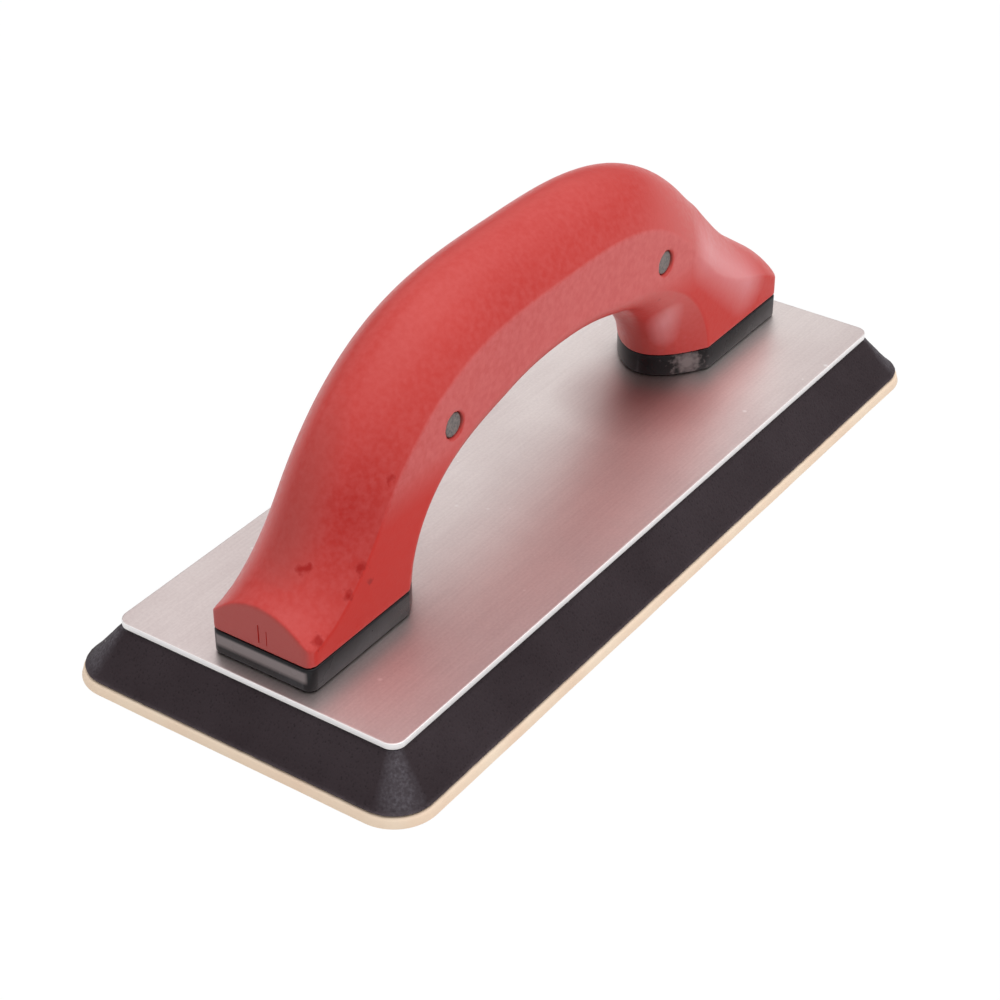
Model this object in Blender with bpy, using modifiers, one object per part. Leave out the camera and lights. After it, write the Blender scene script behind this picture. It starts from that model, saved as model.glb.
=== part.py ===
"""Gum rubber grout float: a rubber face and pad on an aluminium plate, under an overmoulded arch handle.

Metres, +Z up. The origin is the middle of the working face. +X runs from the heel of the handle to its toe,
and +Y across the float.
"""
import math

import bmesh
import bpy
from mathutils import Vector

# Rubber and plate
FACE_LENGTH = 0.2413
FACE_WIDTH = 0.1016
FACE_THICK = 0.0025
FACE_CORNER_RADIUS = 0.0115
FACE_EDGE_DRAW = 0.0010  # how far the gum's edge draws in over its thickness
PAD_THICK = 0.0107
PAD_END_BEVEL = 0.0090  # how far the pad's ends draw in from bottom to top
PAD_SIDE_BEVEL = 0.0088
PLATE_THICK = 0.0016
PLATE_CORNER_RADIUS = 0.0035
SEAT_GAP = 0.0003  # clearance between pieces that touch
CORNER_STEPS = 8

# Handle feet, measured along X
HEEL_MARGIN = 0.0037  # plate left bare past each end of the handle
TOE_MARGIN = 0.0065
HEEL_FOOT_LENGTH = 0.0500
TOE_FOOT_LENGTH = 0.0507
FOOT_CORNER_RADIUS = 0.0026
FOOT_NOSE = 0.0132  # how far the wall that faces the fingers stands out between its side edges
FOOT_NOSE_SWEEP = math.radians(20)
CORE_FOOT_THICK = 0.0063
END_HEIGHT = 0.0115  # height of the grip's end faces on the middle line
HEEL_SLOPE = 0.45  # how steeply the back runs out to each end
TOE_SLOPE = 0.70
END_RUN = 0.0300  # how far in from each end the sloping end is drawn, until the leg hides it
HEEL_BLEND = 0.0079  # height over which the arch blends into each sloping end
TOE_BLEND = 0.0114

# Handle arch
FLOAT_HEIGHT = 0.0894  # from the working face to the top of the handle
HANDLE_WIDTH = 0.0294
CROWN_SHIFT = 0.0036  # how far the crown stands from the handle's middle, towards the heel
HEEL_FULLNESS = 2.34
TOE_FULLNESS = 2.09
GRIP_DEPTH = 0.0330  # thickness of the grip at the crown
HEEL_BACK_FULLNESS = 3.31
TOE_BACK_FULLNESS = 3.03
GRIP_DOME = 0.0134  # depth of the rounded back, at the crown, on the legs and at the ends
HEEL_LEG_DOME = 0.0124
TOE_LEG_DOME = 0.0150
END_DOME = 0.0059
DOME_SWEEP = math.radians(40)
GRIP_EDGE_ROUND = 0.0043
GRIP_EDGE_SWEEP = math.radians(82)
WIDEN_FROM = 0.27  # stretch of each half of the arch over which the grip turns into the foot
WIDEN_TO = 0.92
LEG_FROM = 0.57  # stretch over which the back turns from the leg's depth to the end's
LEG_TO = 0.79
HALF_STATIONS = 22
DOME_STEPS = 6
INNER_FRACTIONS = (0.0, 0.35, 0.62, 0.78, 0.88, 0.95, 1.0)
CURVE_SAMPLES = 400

# Core inside the grip
CORE_WIDTH = 0.0140
CORE_DEPTH = 0.0150
CORE_CHAMFER = 0.0025
PEG_RADIUS = 0.0032
PEG_REACH = 0.0493  # from the crown to each peg, along the core's middle line
PEG_RECESS = 0.0004

# Screws from beneath the plate
SCREW_RADIUS = 0.0021
SCREW_ROOT_RADIUS = 0.0016
SCREW_LENGTH = 0.0160
SCREW_POINT = 0.0030
SCREW_PITCH = 0.0018
SCREW_HEAD_RADIUS = 0.0040
SCREW_HEAD_HEIGHT = 0.0026
SCREW_HEAD_ROUND = 0.0008
SCREW_END_INSET = 0.0105  # outer screws, in from each end of the handle
RECESS_SPAN = 0.0044
RECESS_WIDTH = 0.0011
RECESS_DEPTH = 0.0014
BOSS_WALL = 0.0018
HOLE_SIDES = 24
SCREW_STEPS = 16
OVERCUT = 0.0020  # how far a cutter runs past the face it opens
WELD = 1e-6  # points nearer than this are one
SHARP_ANGLE = math.radians(35)  # edges that turn more than this are shaded sharp

# Levels
PAD_BOTTOM = FACE_THICK + SEAT_GAP
PAD_TOP = PAD_BOTTOM + PAD_THICK
PLATE_BOTTOM = PAD_TOP + SEAT_GAP
PLATE_TOP = PLATE_BOTTOM + PLATE_THICK
FOOT_BOTTOM = PLATE_TOP + SEAT_GAP
FOOT_TOP = FOOT_BOTTOM + CORE_FOOT_THICK
GRIP_BOTTOM = FOOT_TOP + SEAT_GAP
HEAD_TOP = PLATE_BOTTOM - SEAT_GAP
SCREW_TIP = HEAD_TOP + SCREW_LENGTH
PILOT_TOP = SCREW_TIP + SEAT_GAP
BOSS_TOP = PILOT_TOP + BOSS_WALL

# Plan sizes that follow from those above
PLATE_LENGTH = FACE_LENGTH - 2 * (FACE_EDGE_DRAW + PAD_END_BEVEL)
PLATE_WIDTH = FACE_WIDTH - 2 * (FACE_EDGE_DRAW + PAD_SIDE_BEVEL)
HEEL_END = HEEL_MARGIN - PLATE_LENGTH / 2
TOE_END = PLATE_LENGTH / 2 - TOE_MARGIN
HEEL_INNER = HEEL_END + HEEL_FOOT_LENGTH
TOE_INNER = TOE_END - TOE_FOOT_LENGTH
HANDLE_LENGTH = TOE_END - HEEL_END
HANDLE_MIDDLE = (HEEL_END + TOE_END) / 2
CROWN_PLACE = HANDLE_MIDDLE - CROWN_SHIFT
CROWN_HEIGHT = FLOAT_HEIGHT - PLATE_TOP
ARCH_RISE = CROWN_HEIGHT - GRIP_DEPTH  # room for the fingers over the plate
CORE_INSET = GRIP_DEPTH / 2  # from the inner curve to the core's middle line
PILOT_RADIUS = SCREW_RADIUS + SEAT_GAP
BOSS_RADIUS = PILOT_RADIUS + BOSS_WALL
HEEL, TOE = -1, 1
BACK_SHAPES = {
    HEEL: (HEEL_BACK_FULLNESS, HEEL_SLOPE, HEEL_BLEND),
    TOE: (TOE_BACK_FULLNESS, TOE_SLOPE, TOE_BLEND),
}

SCREW_PLACES = {
    "screw_heel_outer": HEEL_END + SCREW_END_INSET,
    "screw_heel_inner": HEEL_INNER - CORE_INSET,
    "screw_toe_inner": TOE_INNER + CORE_INSET,
    "screw_toe_outer": TOE_END - SCREW_END_INSET,
}


def clear_scene():
    """Remove every object, so that the model starts from nothing."""
    for old in list(bpy.data.objects):
        bpy.data.objects.remove(old, do_unlink=True)


def new_collection(name):
    """A collection of this name, linked to the scene."""
    group = bpy.data.collections.new(name)
    bpy.context.scene.collection.children.link(group)
    return group


def material(name, colour, roughness, metallic=0.0):
    """A plain Principled material."""
    made = bpy.data.materials.new(name)
    made.use_nodes = True
    shader = made.node_tree.nodes["Principled BSDF"]
    shader.inputs["Base Color"].default_value = (*colour, 1.0)
    shader.inputs["Roughness"].default_value = roughness
    shader.inputs["Metallic"].default_value = metallic
    return made


def add_mesh(name, bm, group):
    """Turn a bmesh into an object in the group."""
    bmesh.ops.recalc_face_normals(bm, faces=bm.faces)
    mesh = bpy.data.meshes.new(name)
    bm.to_mesh(mesh)
    bm.free()
    made = bpy.data.objects.new(name, mesh)
    group.objects.link(made)
    return made


def loft_bmesh(rings):
    """Skin a list of rings of points, with a flat cap at each end."""
    bm = bmesh.new()
    rows = [[bm.verts.new(point) for point in ring] for ring in rings]
    count = len(rows[0])
    for row, following in zip(rows, rows[1:]):
        for i in range(count):
            j = (i + 1) % count
            bm.faces.new((row[i], row[j], following[j], following[i]))
    bm.faces.new(reversed(rows[0]))
    bm.faces.new(rows[-1])
    return bm


def slice_off(bm, point, outward):
    """Cut a closed bmesh by a plane, drop what lies outward of it, and close the cut."""
    everything = bm.verts[:] + bm.edges[:] + bm.faces[:]
    bmesh.ops.bisect_plane(bm, geom=everything, dist=WELD, plane_co=point, plane_no=outward, clear_outer=True)
    rim = [edge for edge in bm.edges if edge.is_boundary]
    bmesh.ops.holes_fill(bm, edges=rim, sides=0)


def slab(name, outline, bottom, thick, group):
    """A flat outline, given as (x, y) points, extruded up from a level and made a mesh."""
    curve = bpy.data.curves.new(name, "CURVE")
    curve.dimensions = "2D"
    curve.fill_mode = "BOTH"
    curve.extrude = thick / 2
    spline = curve.splines.new("POLY")
    spline.points.add(len(outline) - 1)
    for point, (x, y) in zip(spline.points, outline):
        point.co = (x, y, 0.0, 1.0)
    spline.use_cyclic_u = True
    drawn = bpy.data.objects.new(name + "_outline", curve)
    bpy.context.scene.collection.objects.link(drawn)
    depsgraph = bpy.context.evaluated_depsgraph_get()
    mesh = bpy.data.meshes.new_from_object(drawn.evaluated_get(depsgraph))
    bpy.data.objects.remove(drawn, do_unlink=True)
    bm = bmesh.new()
    bm.from_mesh(mesh)
    bmesh.ops.remove_doubles(bm, verts=bm.verts, dist=WELD)
    bmesh.ops.translate(bm, verts=bm.verts, vec=(0.0, 0.0, bottom + thick / 2))
    return add_mesh(name, bm, group)


def post(name, x, radius, bottom, top, group):
    """An upright cylinder on the middle line."""
    centre = (x, 0.0, (bottom + top) / 2)
    bpy.ops.mesh.primitive_cylinder_add(
        vertices=HOLE_SIDES, radius=radius, depth=top - bottom, location=centre)
    return adopt(name, group)


def cross_bar(name, place, radius, half_length, group):
    """A cylinder lying across the float, centred on the middle plane."""
    turn = (math.pi / 2, 0.0, 0.0)
    bpy.ops.mesh.primitive_cylinder_add(
        vertices=HOLE_SIDES, radius=radius, depth=2 * half_length, location=place, rotation=turn)
    return adopt(name, group)


def adopt(name, group):
    """Name the object that was just added and move it to the group."""
    made = bpy.context.object
    made.name = name
    for holder in list(made.users_collection):
        holder.objects.unlink(made)
    group.objects.link(made)
    return made


def combine(target, operand, operation):
    """Join or cut the target with another object, which becomes a hidden guide."""
    step = target.modifiers.new(operation.lower() + "_" + operand.name, "BOOLEAN")
    step.object = operand
    step.operation = operation
    step.solver = "EXACT"
    operand.hide_render = True
    operand.display_type = "WIRE"


def rounded_rectangle(length, width, radius):
    """Outline of a rectangle with round corners, as (x, y) points."""
    points = []
    for quarter, (sx, sy) in enumerate(((1, 1), (-1, 1), (-1, -1), (1, -1))):
        centre_x = sx * (length / 2 - radius)
        centre_y = sy * (width / 2 - radius)
        for step in range(CORNER_STEPS + 1):
            angle = (quarter + step / CORNER_STEPS) * math.pi / 2
            points.append((centre_x + radius * math.cos(angle), centre_y + radius * math.sin(angle)))
    return points


def at_level(outline, level):
    """Lift an (x, y) outline to a height."""
    return [Vector((x, y, level)) for x, y in outline]


def mix(start, end, share):
    """Straight blend between two values."""
    return start + (end - start) * share


def smooth_share(value, low, high):
    """0 below low, 1 above high, eased between."""
    share = min(max((value - low) / (high - low), 0.0), 1.0)
    return share * share * (3 - 2 * share)


def outer_height(x, side):
    """Height of the handle's back on the middle plane: a flat-topped arch running out into a sloping end."""
    fullness, slope, blend = BACK_SHAPES[side]
    reach = abs(x - CROWN_PLACE) / (HANDLE_LENGTH / 2)
    arch = PLATE_TOP + CROWN_HEIGHT * (1 - reach ** fullness)
    end = GRIP_BOTTOM + END_HEIGHT + slope * min(side * (outer_end(side) - x), END_RUN)
    overlap = max(blend - abs(arch - end), 0.0)
    return max(arch, end) + overlap ** 2 / (4 * blend)


def outer_end(side):
    """Where the handle ends, at the heel or the toe."""
    return HEEL_END if side == HEEL else TOE_END


def outer_curve(side):
    """Half of the back's curve, from the crown out past the end of the handle and below the grip."""
    slope = BACK_SHAPES[side][1]
    end = outer_end(side) + side * (GRIP_BOTTOM + END_HEIGHT - PLATE_BOTTOM) / slope
    samples = [mix(CROWN_PLACE, end, i / CURVE_SAMPLES) for i in range(CURVE_SAMPLES + 1)]
    return [Vector((x, 0.0, outer_height(x, side))) for x in samples]


def inner_end(side):
    """Where a foot's wall towards the fingers stands on the middle line."""
    return HEEL_INNER if side == HEEL else TOE_INNER


def inner_curve(side):
    """Half of the curve over the fingers, from its top down to the plate."""
    fullness = HEEL_FULLNESS if side == HEEL else TOE_FULLNESS
    points = []
    for i in range(CURVE_SAMPLES + 1):
        angle = math.pi / 2 * i / CURVE_SAMPLES
        across = math.sin(angle) ** (2 / fullness)
        rise = max(math.cos(angle), 0.0) ** (2 / fullness)
        points.append(Vector((mix(CROWN_PLACE, inner_end(side), across), 0.0, PLATE_TOP + ARCH_RISE * rise)))
    return points


def run_lengths(curve):
    """Distance of each point of a curve from its first point, along the curve."""
    lengths = [0.0]
    for point, following in zip(curve, curve[1:]):
        lengths.append(lengths[-1] + (following - point).length)
    return lengths


def point_along(curve, distance):
    """Point of a curve at a distance along it, with the curve's direction there."""
    lengths = run_lengths(curve)
    i = 0
    while i < len(curve) - 2 and lengths[i + 1] < distance:
        i += 1
    step = curve[i + 1] - curve[i]
    return curve[i] + step * ((distance - lengths[i]) / step.length), step.normalized()


def arch_stations(side):
    """Share, back point and normal, inner point and normal, and dome, at even steps from crown to foot."""
    outer, inner = outer_curve(side), inner_curve(side)
    leg_dome = HEEL_LEG_DOME if side == HEEL else TOE_LEG_DOME
    outer_length, inner_length = run_lengths(outer)[-1], run_lengths(inner)[-1]
    stations = []
    for i in range(HALF_STATIONS + 1):
        share = i / HALF_STATIONS
        back, back_run = point_along(outer, share * outer_length)
        belly, belly_run = point_along(inner, share * inner_length)
        back_out = Vector((-side * back_run.z, 0.0, side * back_run.x))
        belly_in = Vector((-side * belly_run.z, 0.0, side * belly_run.x))
        dome = mix(GRIP_DOME, leg_dome, smooth_share(share, WIDEN_FROM, LEG_FROM))
        dome = mix(dome, END_DOME, smooth_share(share, LEG_FROM, LEG_TO))
        stations.append((share, back, back_out, belly, belly_in, dome))
    return stations


def whole_arch():
    """Stations of both halves in one run, heel foot to toe foot, the crown once."""
    return list(reversed(arch_stations(HEEL)[1:])) + arch_stations(TOE)


def edge_rise(fraction, half_width, round_width, rise, sweep):
    """How far the inner face turns up towards the flank, at a fraction of the half width."""
    past = fraction * half_width - (half_width - round_width)
    if past <= 0:
        return 0.0
    angle = math.asin(min(past / round_width, 1.0) * math.sin(sweep))
    return rise * (1 - math.cos(angle)) / (1 - math.cos(sweep))


def grip_ring(share, back, back_out, belly, belly_in, dome):
    """Ring of the grip: inner face, flanks and rounded back."""
    foot = smooth_share(share, WIDEN_FROM, WIDEN_TO)
    half_width = HANDLE_WIDTH / 2
    round_width = mix(GRIP_EDGE_ROUND, half_width, foot)
    rise = mix(GRIP_EDGE_ROUND, FOOT_NOSE, foot)
    sweep = mix(GRIP_EDGE_SWEEP, FOOT_NOSE_SWEEP, foot)
    half = []
    for fraction in INNER_FRACTIONS:
        height = edge_rise(fraction, half_width, round_width, rise, sweep)
        half.append((fraction * half_width, belly + belly_in * height))
    for step in range(DOME_STEPS + 1):
        angle = DOME_SWEEP * (1 - step / DOME_STEPS)
        drop = dome * (1 - math.cos(angle)) / (1 - math.cos(DOME_SWEEP))
        half.append((half_width * math.sin(angle) / math.sin(DOME_SWEEP), back - back_out * drop))
    right = [Vector((p.x, y, p.z)) for y, p in half]
    left = [Vector((p.x, -y, p.z)) for y, p in half[1:-1]]
    return right + list(reversed(left))


def core_line(side):
    """Middle line of half of the core, a set distance out from the inner curve."""
    return [belly + (back - belly).normalized() * CORE_INSET for _, back, _, belly, *_ in arch_stations(side)]


def bar_ring(back, belly, allowance):
    """Eight-sided ring of the core's bar, grown all round by an allowance."""
    outward = (back - belly).normalized()
    middle = belly + outward * CORE_INSET
    half_width = CORE_WIDTH / 2 + allowance
    half_depth = CORE_DEPTH / 2 + allowance
    flat_width, flat_depth = half_width - CORE_CHAMFER, half_depth - CORE_CHAMFER
    corners = ((half_width, -flat_depth), (half_width, flat_depth), (flat_width, half_depth),
               (-flat_width, half_depth), (-half_width, flat_depth), (-half_width, -flat_depth),
               (-flat_width, -half_depth), (flat_width, -half_depth))
    return [middle + outward * depth + Vector((0.0, width, 0.0)) for width, depth in corners]


def core_bar(name, allowance, bottom, group):
    """The core's arched bar, cut level at its lower ends."""
    bm = loft_bmesh([bar_ring(back, belly, allowance) for _, back, _, belly, *_ in whole_arch()])
    slice_off(bm, (0.0, 0.0, bottom), (0.0, 0.0, -1.0))
    return add_mesh(name, bm, group)


def foot_outline(side):
    """Plan of one foot: a square end with small corners, and a curved end towards the fingers."""
    half_width = HANDLE_WIDTH / 2
    curved = []
    for fraction in INNER_FRACTIONS:
        rise = edge_rise(fraction, half_width, half_width, FOOT_NOSE, FOOT_NOSE_SWEEP)
        curved.append((inner_end(side) + side * rise, fraction * half_width))
    corner = []
    for step in range(CORNER_STEPS + 1):
        angle = math.pi / 2 * step / CORNER_STEPS
        end_inset = FOOT_CORNER_RADIUS * (1 - math.sin(angle))
        side_inset = FOOT_CORNER_RADIUS * (1 - math.cos(angle))
        corner.append((outer_end(side) - side * end_inset, half_width - side_inset))
    half = curved + corner
    return half + [(x, -y) for x, y in reversed(half[1:])]


def peg_places():
    """Middle of each pair of locating pegs, on the core's line."""
    places = []
    for side in (HEEL, TOE):
        place, _ = point_along(core_line(side), PEG_REACH)
        places.append(place)
    return places


def build_face(group):
    """Gum rubber sheet with its edge drawn in."""
    bottom = rounded_rectangle(FACE_LENGTH, FACE_WIDTH, FACE_CORNER_RADIUS)
    top = rounded_rectangle(FACE_LENGTH - 2 * FACE_EDGE_DRAW, FACE_WIDTH - 2 * FACE_EDGE_DRAW,
                            FACE_CORNER_RADIUS - FACE_EDGE_DRAW)
    bm = loft_bmesh([at_level(bottom, 0.0), at_level(top, FACE_THICK)])
    return add_mesh("gum_face", bm, group)


def build_pad(group, cutters):
    """Bevelled sponge pad with a pocket for each screw head."""
    bottom = rounded_rectangle(FACE_LENGTH - 2 * FACE_EDGE_DRAW, FACE_WIDTH - 2 * FACE_EDGE_DRAW,
                               FACE_CORNER_RADIUS - FACE_EDGE_DRAW)
    top = rounded_rectangle(PLATE_LENGTH, PLATE_WIDTH, PLATE_CORNER_RADIUS)
    bm = loft_bmesh([at_level(bottom, PAD_BOTTOM), at_level(top, PAD_TOP)])
    pad = add_mesh("sponge_pad", bm, group)
    floor = HEAD_TOP - SCREW_HEAD_HEIGHT - SEAT_GAP
    for screw, x in SCREW_PLACES.items():
        pocket = post("pocket_" + screw, x, SCREW_HEAD_RADIUS + SEAT_GAP, floor, PAD_TOP + OVERCUT, cutters)
        combine(pad, pocket, "DIFFERENCE")
    return pad


def build_plate(group, cutters):
    """Aluminium backing plate with four clearance holes."""
    outline = rounded_rectangle(PLATE_LENGTH, PLATE_WIDTH, PLATE_CORNER_RADIUS)
    plate = slab("backing_plate", outline, PLATE_BOTTOM, PLATE_THICK, group)
    for screw, x in SCREW_PLACES.items():
        hole = post("hole_" + screw, x, PILOT_RADIUS, PLATE_BOTTOM - OVERCUT, PLATE_TOP + OVERCUT, cutters)
        combine(plate, hole, "DIFFERENCE")
    return plate


def build_core(group, cutters):
    """Rigid core: arched bar, two feet, end bosses, locating pegs and pilot holes, in one moulding."""
    core = core_bar("handle_core", 0.0, FOOT_BOTTOM + CORE_FOOT_THICK / 2, group)
    for side, label in ((HEEL, "heel"), (TOE, "toe")):
        foot = slab("foot_" + label, foot_outline(side), FOOT_BOTTOM, CORE_FOOT_THICK, cutters)
        combine(core, foot, "UNION")
        boss = post("boss_" + label, SCREW_PLACES["screw_" + label + "_outer"], BOSS_RADIUS,
                    FOOT_BOTTOM + CORE_FOOT_THICK / 2, BOSS_TOP, cutters)
        combine(core, boss, "UNION")
    for screw, x in SCREW_PLACES.items():
        pilot = post("pilot_" + screw, x, PILOT_RADIUS, FOOT_BOTTOM - OVERCUT, PILOT_TOP, cutters)
        combine(core, pilot, "DIFFERENCE")
    for i, place in enumerate(peg_places()):
        peg = cross_bar("peg_%d" % (i + 1), place, PEG_RADIUS, HANDLE_WIDTH / 2 - PEG_RECESS, cutters)
        combine(core, peg, "UNION")
    return core


def flatten_flanks(bm):
    """Make each flank of the grip's arch one flat face."""
    flanks = [face for face in bm.faces
              if all(abs(abs(vert.co.y) - HANDLE_WIDTH / 2) < WELD for vert in face.verts)]
    bmesh.ops.delete(bm, geom=flanks, context="FACES")
    bmesh.ops.holes_fill(bm, edges=[edge for edge in bm.edges if edge.is_boundary], sides=0)


def cut_ends(bm):
    """Cut the grip's arch off flat over the feet, and upright at both ends with round corners."""
    slice_off(bm, (HANDLE_MIDDLE, 0.0, GRIP_BOTTOM), (0.0, 0.0, -1.0))
    plan = rounded_rectangle(HANDLE_LENGTH, HANDLE_WIDTH + 2 * SEAT_GAP, FOOT_CORNER_RADIUS)
    for (x, y), (next_x, next_y) in zip(plan, plan[1:] + plan[:1]):
        if abs(next_y - y) > WELD:
            slice_off(bm, (HANDLE_MIDDLE + x, y, 0.0), Vector((next_y - y, x - next_x, 0.0)).normalized())


def build_grip(group, cutters):
    """Soft grip round the core, with a window over each end of the pegs."""
    arch = loft_bmesh([grip_ring(*station) for station in whole_arch()])
    flatten_flanks(arch)
    cut_ends(arch)
    grip = add_mesh("handle_grip", arch, group)
    combine(grip, core_bar("tunnel", SEAT_GAP, PLATE_TOP, cutters), "DIFFERENCE")
    for label in ("heel", "toe"):
        room = post("boss_room_" + label, SCREW_PLACES["screw_" + label + "_outer"], BOSS_RADIUS + SEAT_GAP,
                    PLATE_TOP, BOSS_TOP + SEAT_GAP, cutters)
        combine(grip, room, "DIFFERENCE")
    for i, place in enumerate(peg_places()):
        reach = HANDLE_WIDTH / 2 + OVERCUT
        window = cross_bar("window_%d" % (i + 1), place, PEG_RADIUS + SEAT_GAP, reach, cutters)
        combine(grip, window, "DIFFERENCE")
    return grip


def screw_profile():
    """Half outline of a screw standing on its head, down from the point to the head's middle."""
    shoulder = SCREW_TIP - SCREW_POINT
    turns = int((shoulder - PLATE_TOP) / SCREW_PITCH)
    profile = [(0.0, SCREW_TIP)]
    for turn in range(turns):
        crest = shoulder - turn * SCREW_PITCH
        profile += [(SCREW_RADIUS, crest), (SCREW_ROOT_RADIUS, crest - SCREW_PITCH / 2)]
    profile += [(SCREW_ROOT_RADIUS, HEAD_TOP), (SCREW_HEAD_RADIUS, HEAD_TOP)]
    underside = HEAD_TOP - SCREW_HEAD_HEIGHT
    profile += [(SCREW_HEAD_RADIUS, underside + SCREW_HEAD_ROUND),
                (SCREW_HEAD_RADIUS - SCREW_HEAD_ROUND, underside), (0.0, underside)]
    return profile


def build_screw(name, x, group, cutters):
    """Pan-head screw with a cross recess, point upwards."""
    bm = bmesh.new()
    points = [bm.verts.new((radius, 0.0, level)) for radius, level in screw_profile()]
    for start, end in zip(points, points[1:]):
        bm.edges.new((start, end))
    mesh = bpy.data.meshes.new(name)
    bm.to_mesh(mesh)
    bm.free()
    screw = bpy.data.objects.new(name, mesh)
    group.objects.link(screw)
    screw.location.x = x
    turned = screw.modifiers.new("turned", "SCREW")
    turned.steps = turned.render_steps = SCREW_STEPS
    turned.use_merge_vertices = True
    turned.merge_threshold = WELD
    underside = HEAD_TOP - SCREW_HEAD_HEIGHT
    for i, (span, width) in enumerate(((RECESS_SPAN, RECESS_WIDTH), (RECESS_WIDTH, RECESS_SPAN))):
        bpy.ops.mesh.primitive_cube_add(size=1.0, location=(x, 0.0, underside))
        slot = adopt("slot_%d_%s" % (i + 1, name), cutters)
        slot.scale = (span, width, 2 * RECESS_DEPTH)
        combine(screw, slot, "DIFFERENCE")
    return screw


def main():
    """Build every piece, dress it and hang it on one empty."""
    clear_scene()
    parts = new_collection("grout_float")
    cutters = new_collection("cutters")
    finishes = {
        "gum_face": material("gum_rubber", (0.84, 0.66, 0.48), 0.6),
        "sponge_pad": material("sponge_rubber", (0.045, 0.033, 0.038), 0.85),
        "backing_plate": material("aluminium", (0.62, 0.58, 0.56), 0.38, 1.0),
        "handle_core": material("core_plastic", (0.045, 0.052, 0.055), 0.45),
        "handle_grip": material("grip_rubber", (0.50, 0.05, 0.045), 0.5),
    }
    pieces = [build_face(parts), build_pad(parts, cutters), build_plate(parts, cutters),
              build_core(parts, cutters), build_grip(parts, cutters)]
    for name, x in SCREW_PLACES.items():
        pieces.append(build_screw(name, x, parts, cutters))
        finishes[name] = material("zinc_steel_" + name, (0.55, 0.56, 0.58), 0.35, 1.0)
    root = bpy.data.objects.new("grout_float", None)
    parts.objects.link(root)
    for piece in pieces:
        piece.parent = root
        piece.data.materials.clear()
        piece.data.materials.append(finishes[piece.name])
        piece.data.shade_smooth()
        piece.data.set_sharp_from_angle(angle=SHARP_ANGLE)


main()
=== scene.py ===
"""Looks of the gum rubber grout float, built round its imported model.

Metres, +Z up, +X from the heel of the handle to its toe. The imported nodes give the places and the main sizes,
and each sub-assembly is a class that builds its pieces over them and dresses them.
"""
import logging
import math
from bisect import bisect_right
from dataclasses import dataclass
from enum import Enum
from itertools import accumulate

import bmesh
import bpy
from bmesh.types import BMesh
from bpy.types import ID, Material, Node, NodeOutputs, NodeSocket, NodeTree, Object
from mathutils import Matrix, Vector, noise


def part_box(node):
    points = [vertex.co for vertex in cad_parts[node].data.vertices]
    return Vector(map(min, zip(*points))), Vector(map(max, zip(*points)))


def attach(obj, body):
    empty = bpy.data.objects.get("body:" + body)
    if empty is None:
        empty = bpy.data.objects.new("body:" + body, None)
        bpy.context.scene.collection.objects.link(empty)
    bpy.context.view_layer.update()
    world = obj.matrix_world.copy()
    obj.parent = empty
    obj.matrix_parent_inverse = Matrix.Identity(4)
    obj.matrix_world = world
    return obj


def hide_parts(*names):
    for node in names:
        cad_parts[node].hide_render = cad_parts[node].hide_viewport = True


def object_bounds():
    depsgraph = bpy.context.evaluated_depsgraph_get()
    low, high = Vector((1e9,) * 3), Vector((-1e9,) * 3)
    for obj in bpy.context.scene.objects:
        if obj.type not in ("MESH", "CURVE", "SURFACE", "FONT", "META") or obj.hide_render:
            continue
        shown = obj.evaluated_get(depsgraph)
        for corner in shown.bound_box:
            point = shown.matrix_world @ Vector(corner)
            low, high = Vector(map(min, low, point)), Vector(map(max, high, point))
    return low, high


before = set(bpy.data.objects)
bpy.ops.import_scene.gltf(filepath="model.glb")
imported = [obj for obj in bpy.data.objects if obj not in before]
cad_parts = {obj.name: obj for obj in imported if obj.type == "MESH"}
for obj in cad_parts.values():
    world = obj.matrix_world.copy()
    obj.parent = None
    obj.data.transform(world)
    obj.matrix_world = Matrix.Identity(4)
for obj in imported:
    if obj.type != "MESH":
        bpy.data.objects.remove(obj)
CAD_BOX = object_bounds()

BODY = "root"
SCREWS = ("screw_heel_outer", "screw_heel_inner", "screw_toe_inner", "screw_toe_outer")
WELD = 1e-6
DOWN = Vector((0.0, 0.0, -1.0))
ORIGIN = (0.0, 0.0, 0.0)
WHITE = (1.0, 1.0, 1.0)
LOG = logging.getLogger("grout_float")

Pair = tuple[float, float]
Outline = list[Pair]
Ring = list[Vector]
Station = tuple[float, Vector, Vector, Vector, Vector, float]
Triple = tuple[float, float, float]
Colour = Triple
Feed = NodeSocket | float | Colour


class End(Enum):
    """The handle's two ends, by the sign of their X."""

    HEEL = -1
    TOE = 1


class Cut(Enum):
    """How one solid changes another."""

    JOIN = "UNION"
    TAKE = "DIFFERENCE"


def mix(start: float, end: float, share: float) -> float:
    """Straight blend between two values."""
    return start + (end - start) * share


def eased(value: float, low: float, high: float) -> float:
    """0 below low, 1 above high, eased between."""
    share = min(max((value - low) / (high - low), 0.0), 1.0)
    return share * share * (3 - 2 * share)


def screen(*levels: int) -> Colour:
    """Linear colour of an 8-bit screen colour: red, green and blue."""
    shares = [level / 255 for level in levels]
    return tuple(share / 12.92 if share <= 0.04045 else ((share + 0.055) / 1.055) ** 2.4 for share in shares)


def put(name: str, data: ID) -> Object:
    """Put new data into the scene.

    Args:
        name: Name of the object.
        data: Its mesh, light or camera.

    Returns:
        The new object.
    """
    made = bpy.data.objects.new(name, data)
    bpy.context.scene.collection.objects.link(made)
    return made


def mesh_object(name: str, bm: BMesh) -> Object:
    """Turn a bmesh into an object of the scene.

    Args:
        name: Name of the object.
        bm: Closed mesh, which is freed.

    Returns:
        The new object.
    """
    bmesh.ops.recalc_face_normals(bm, faces=bm.faces)
    mesh = bpy.data.meshes.new(name)
    bm.to_mesh(mesh)
    bm.free()
    return put(name, mesh)


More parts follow.
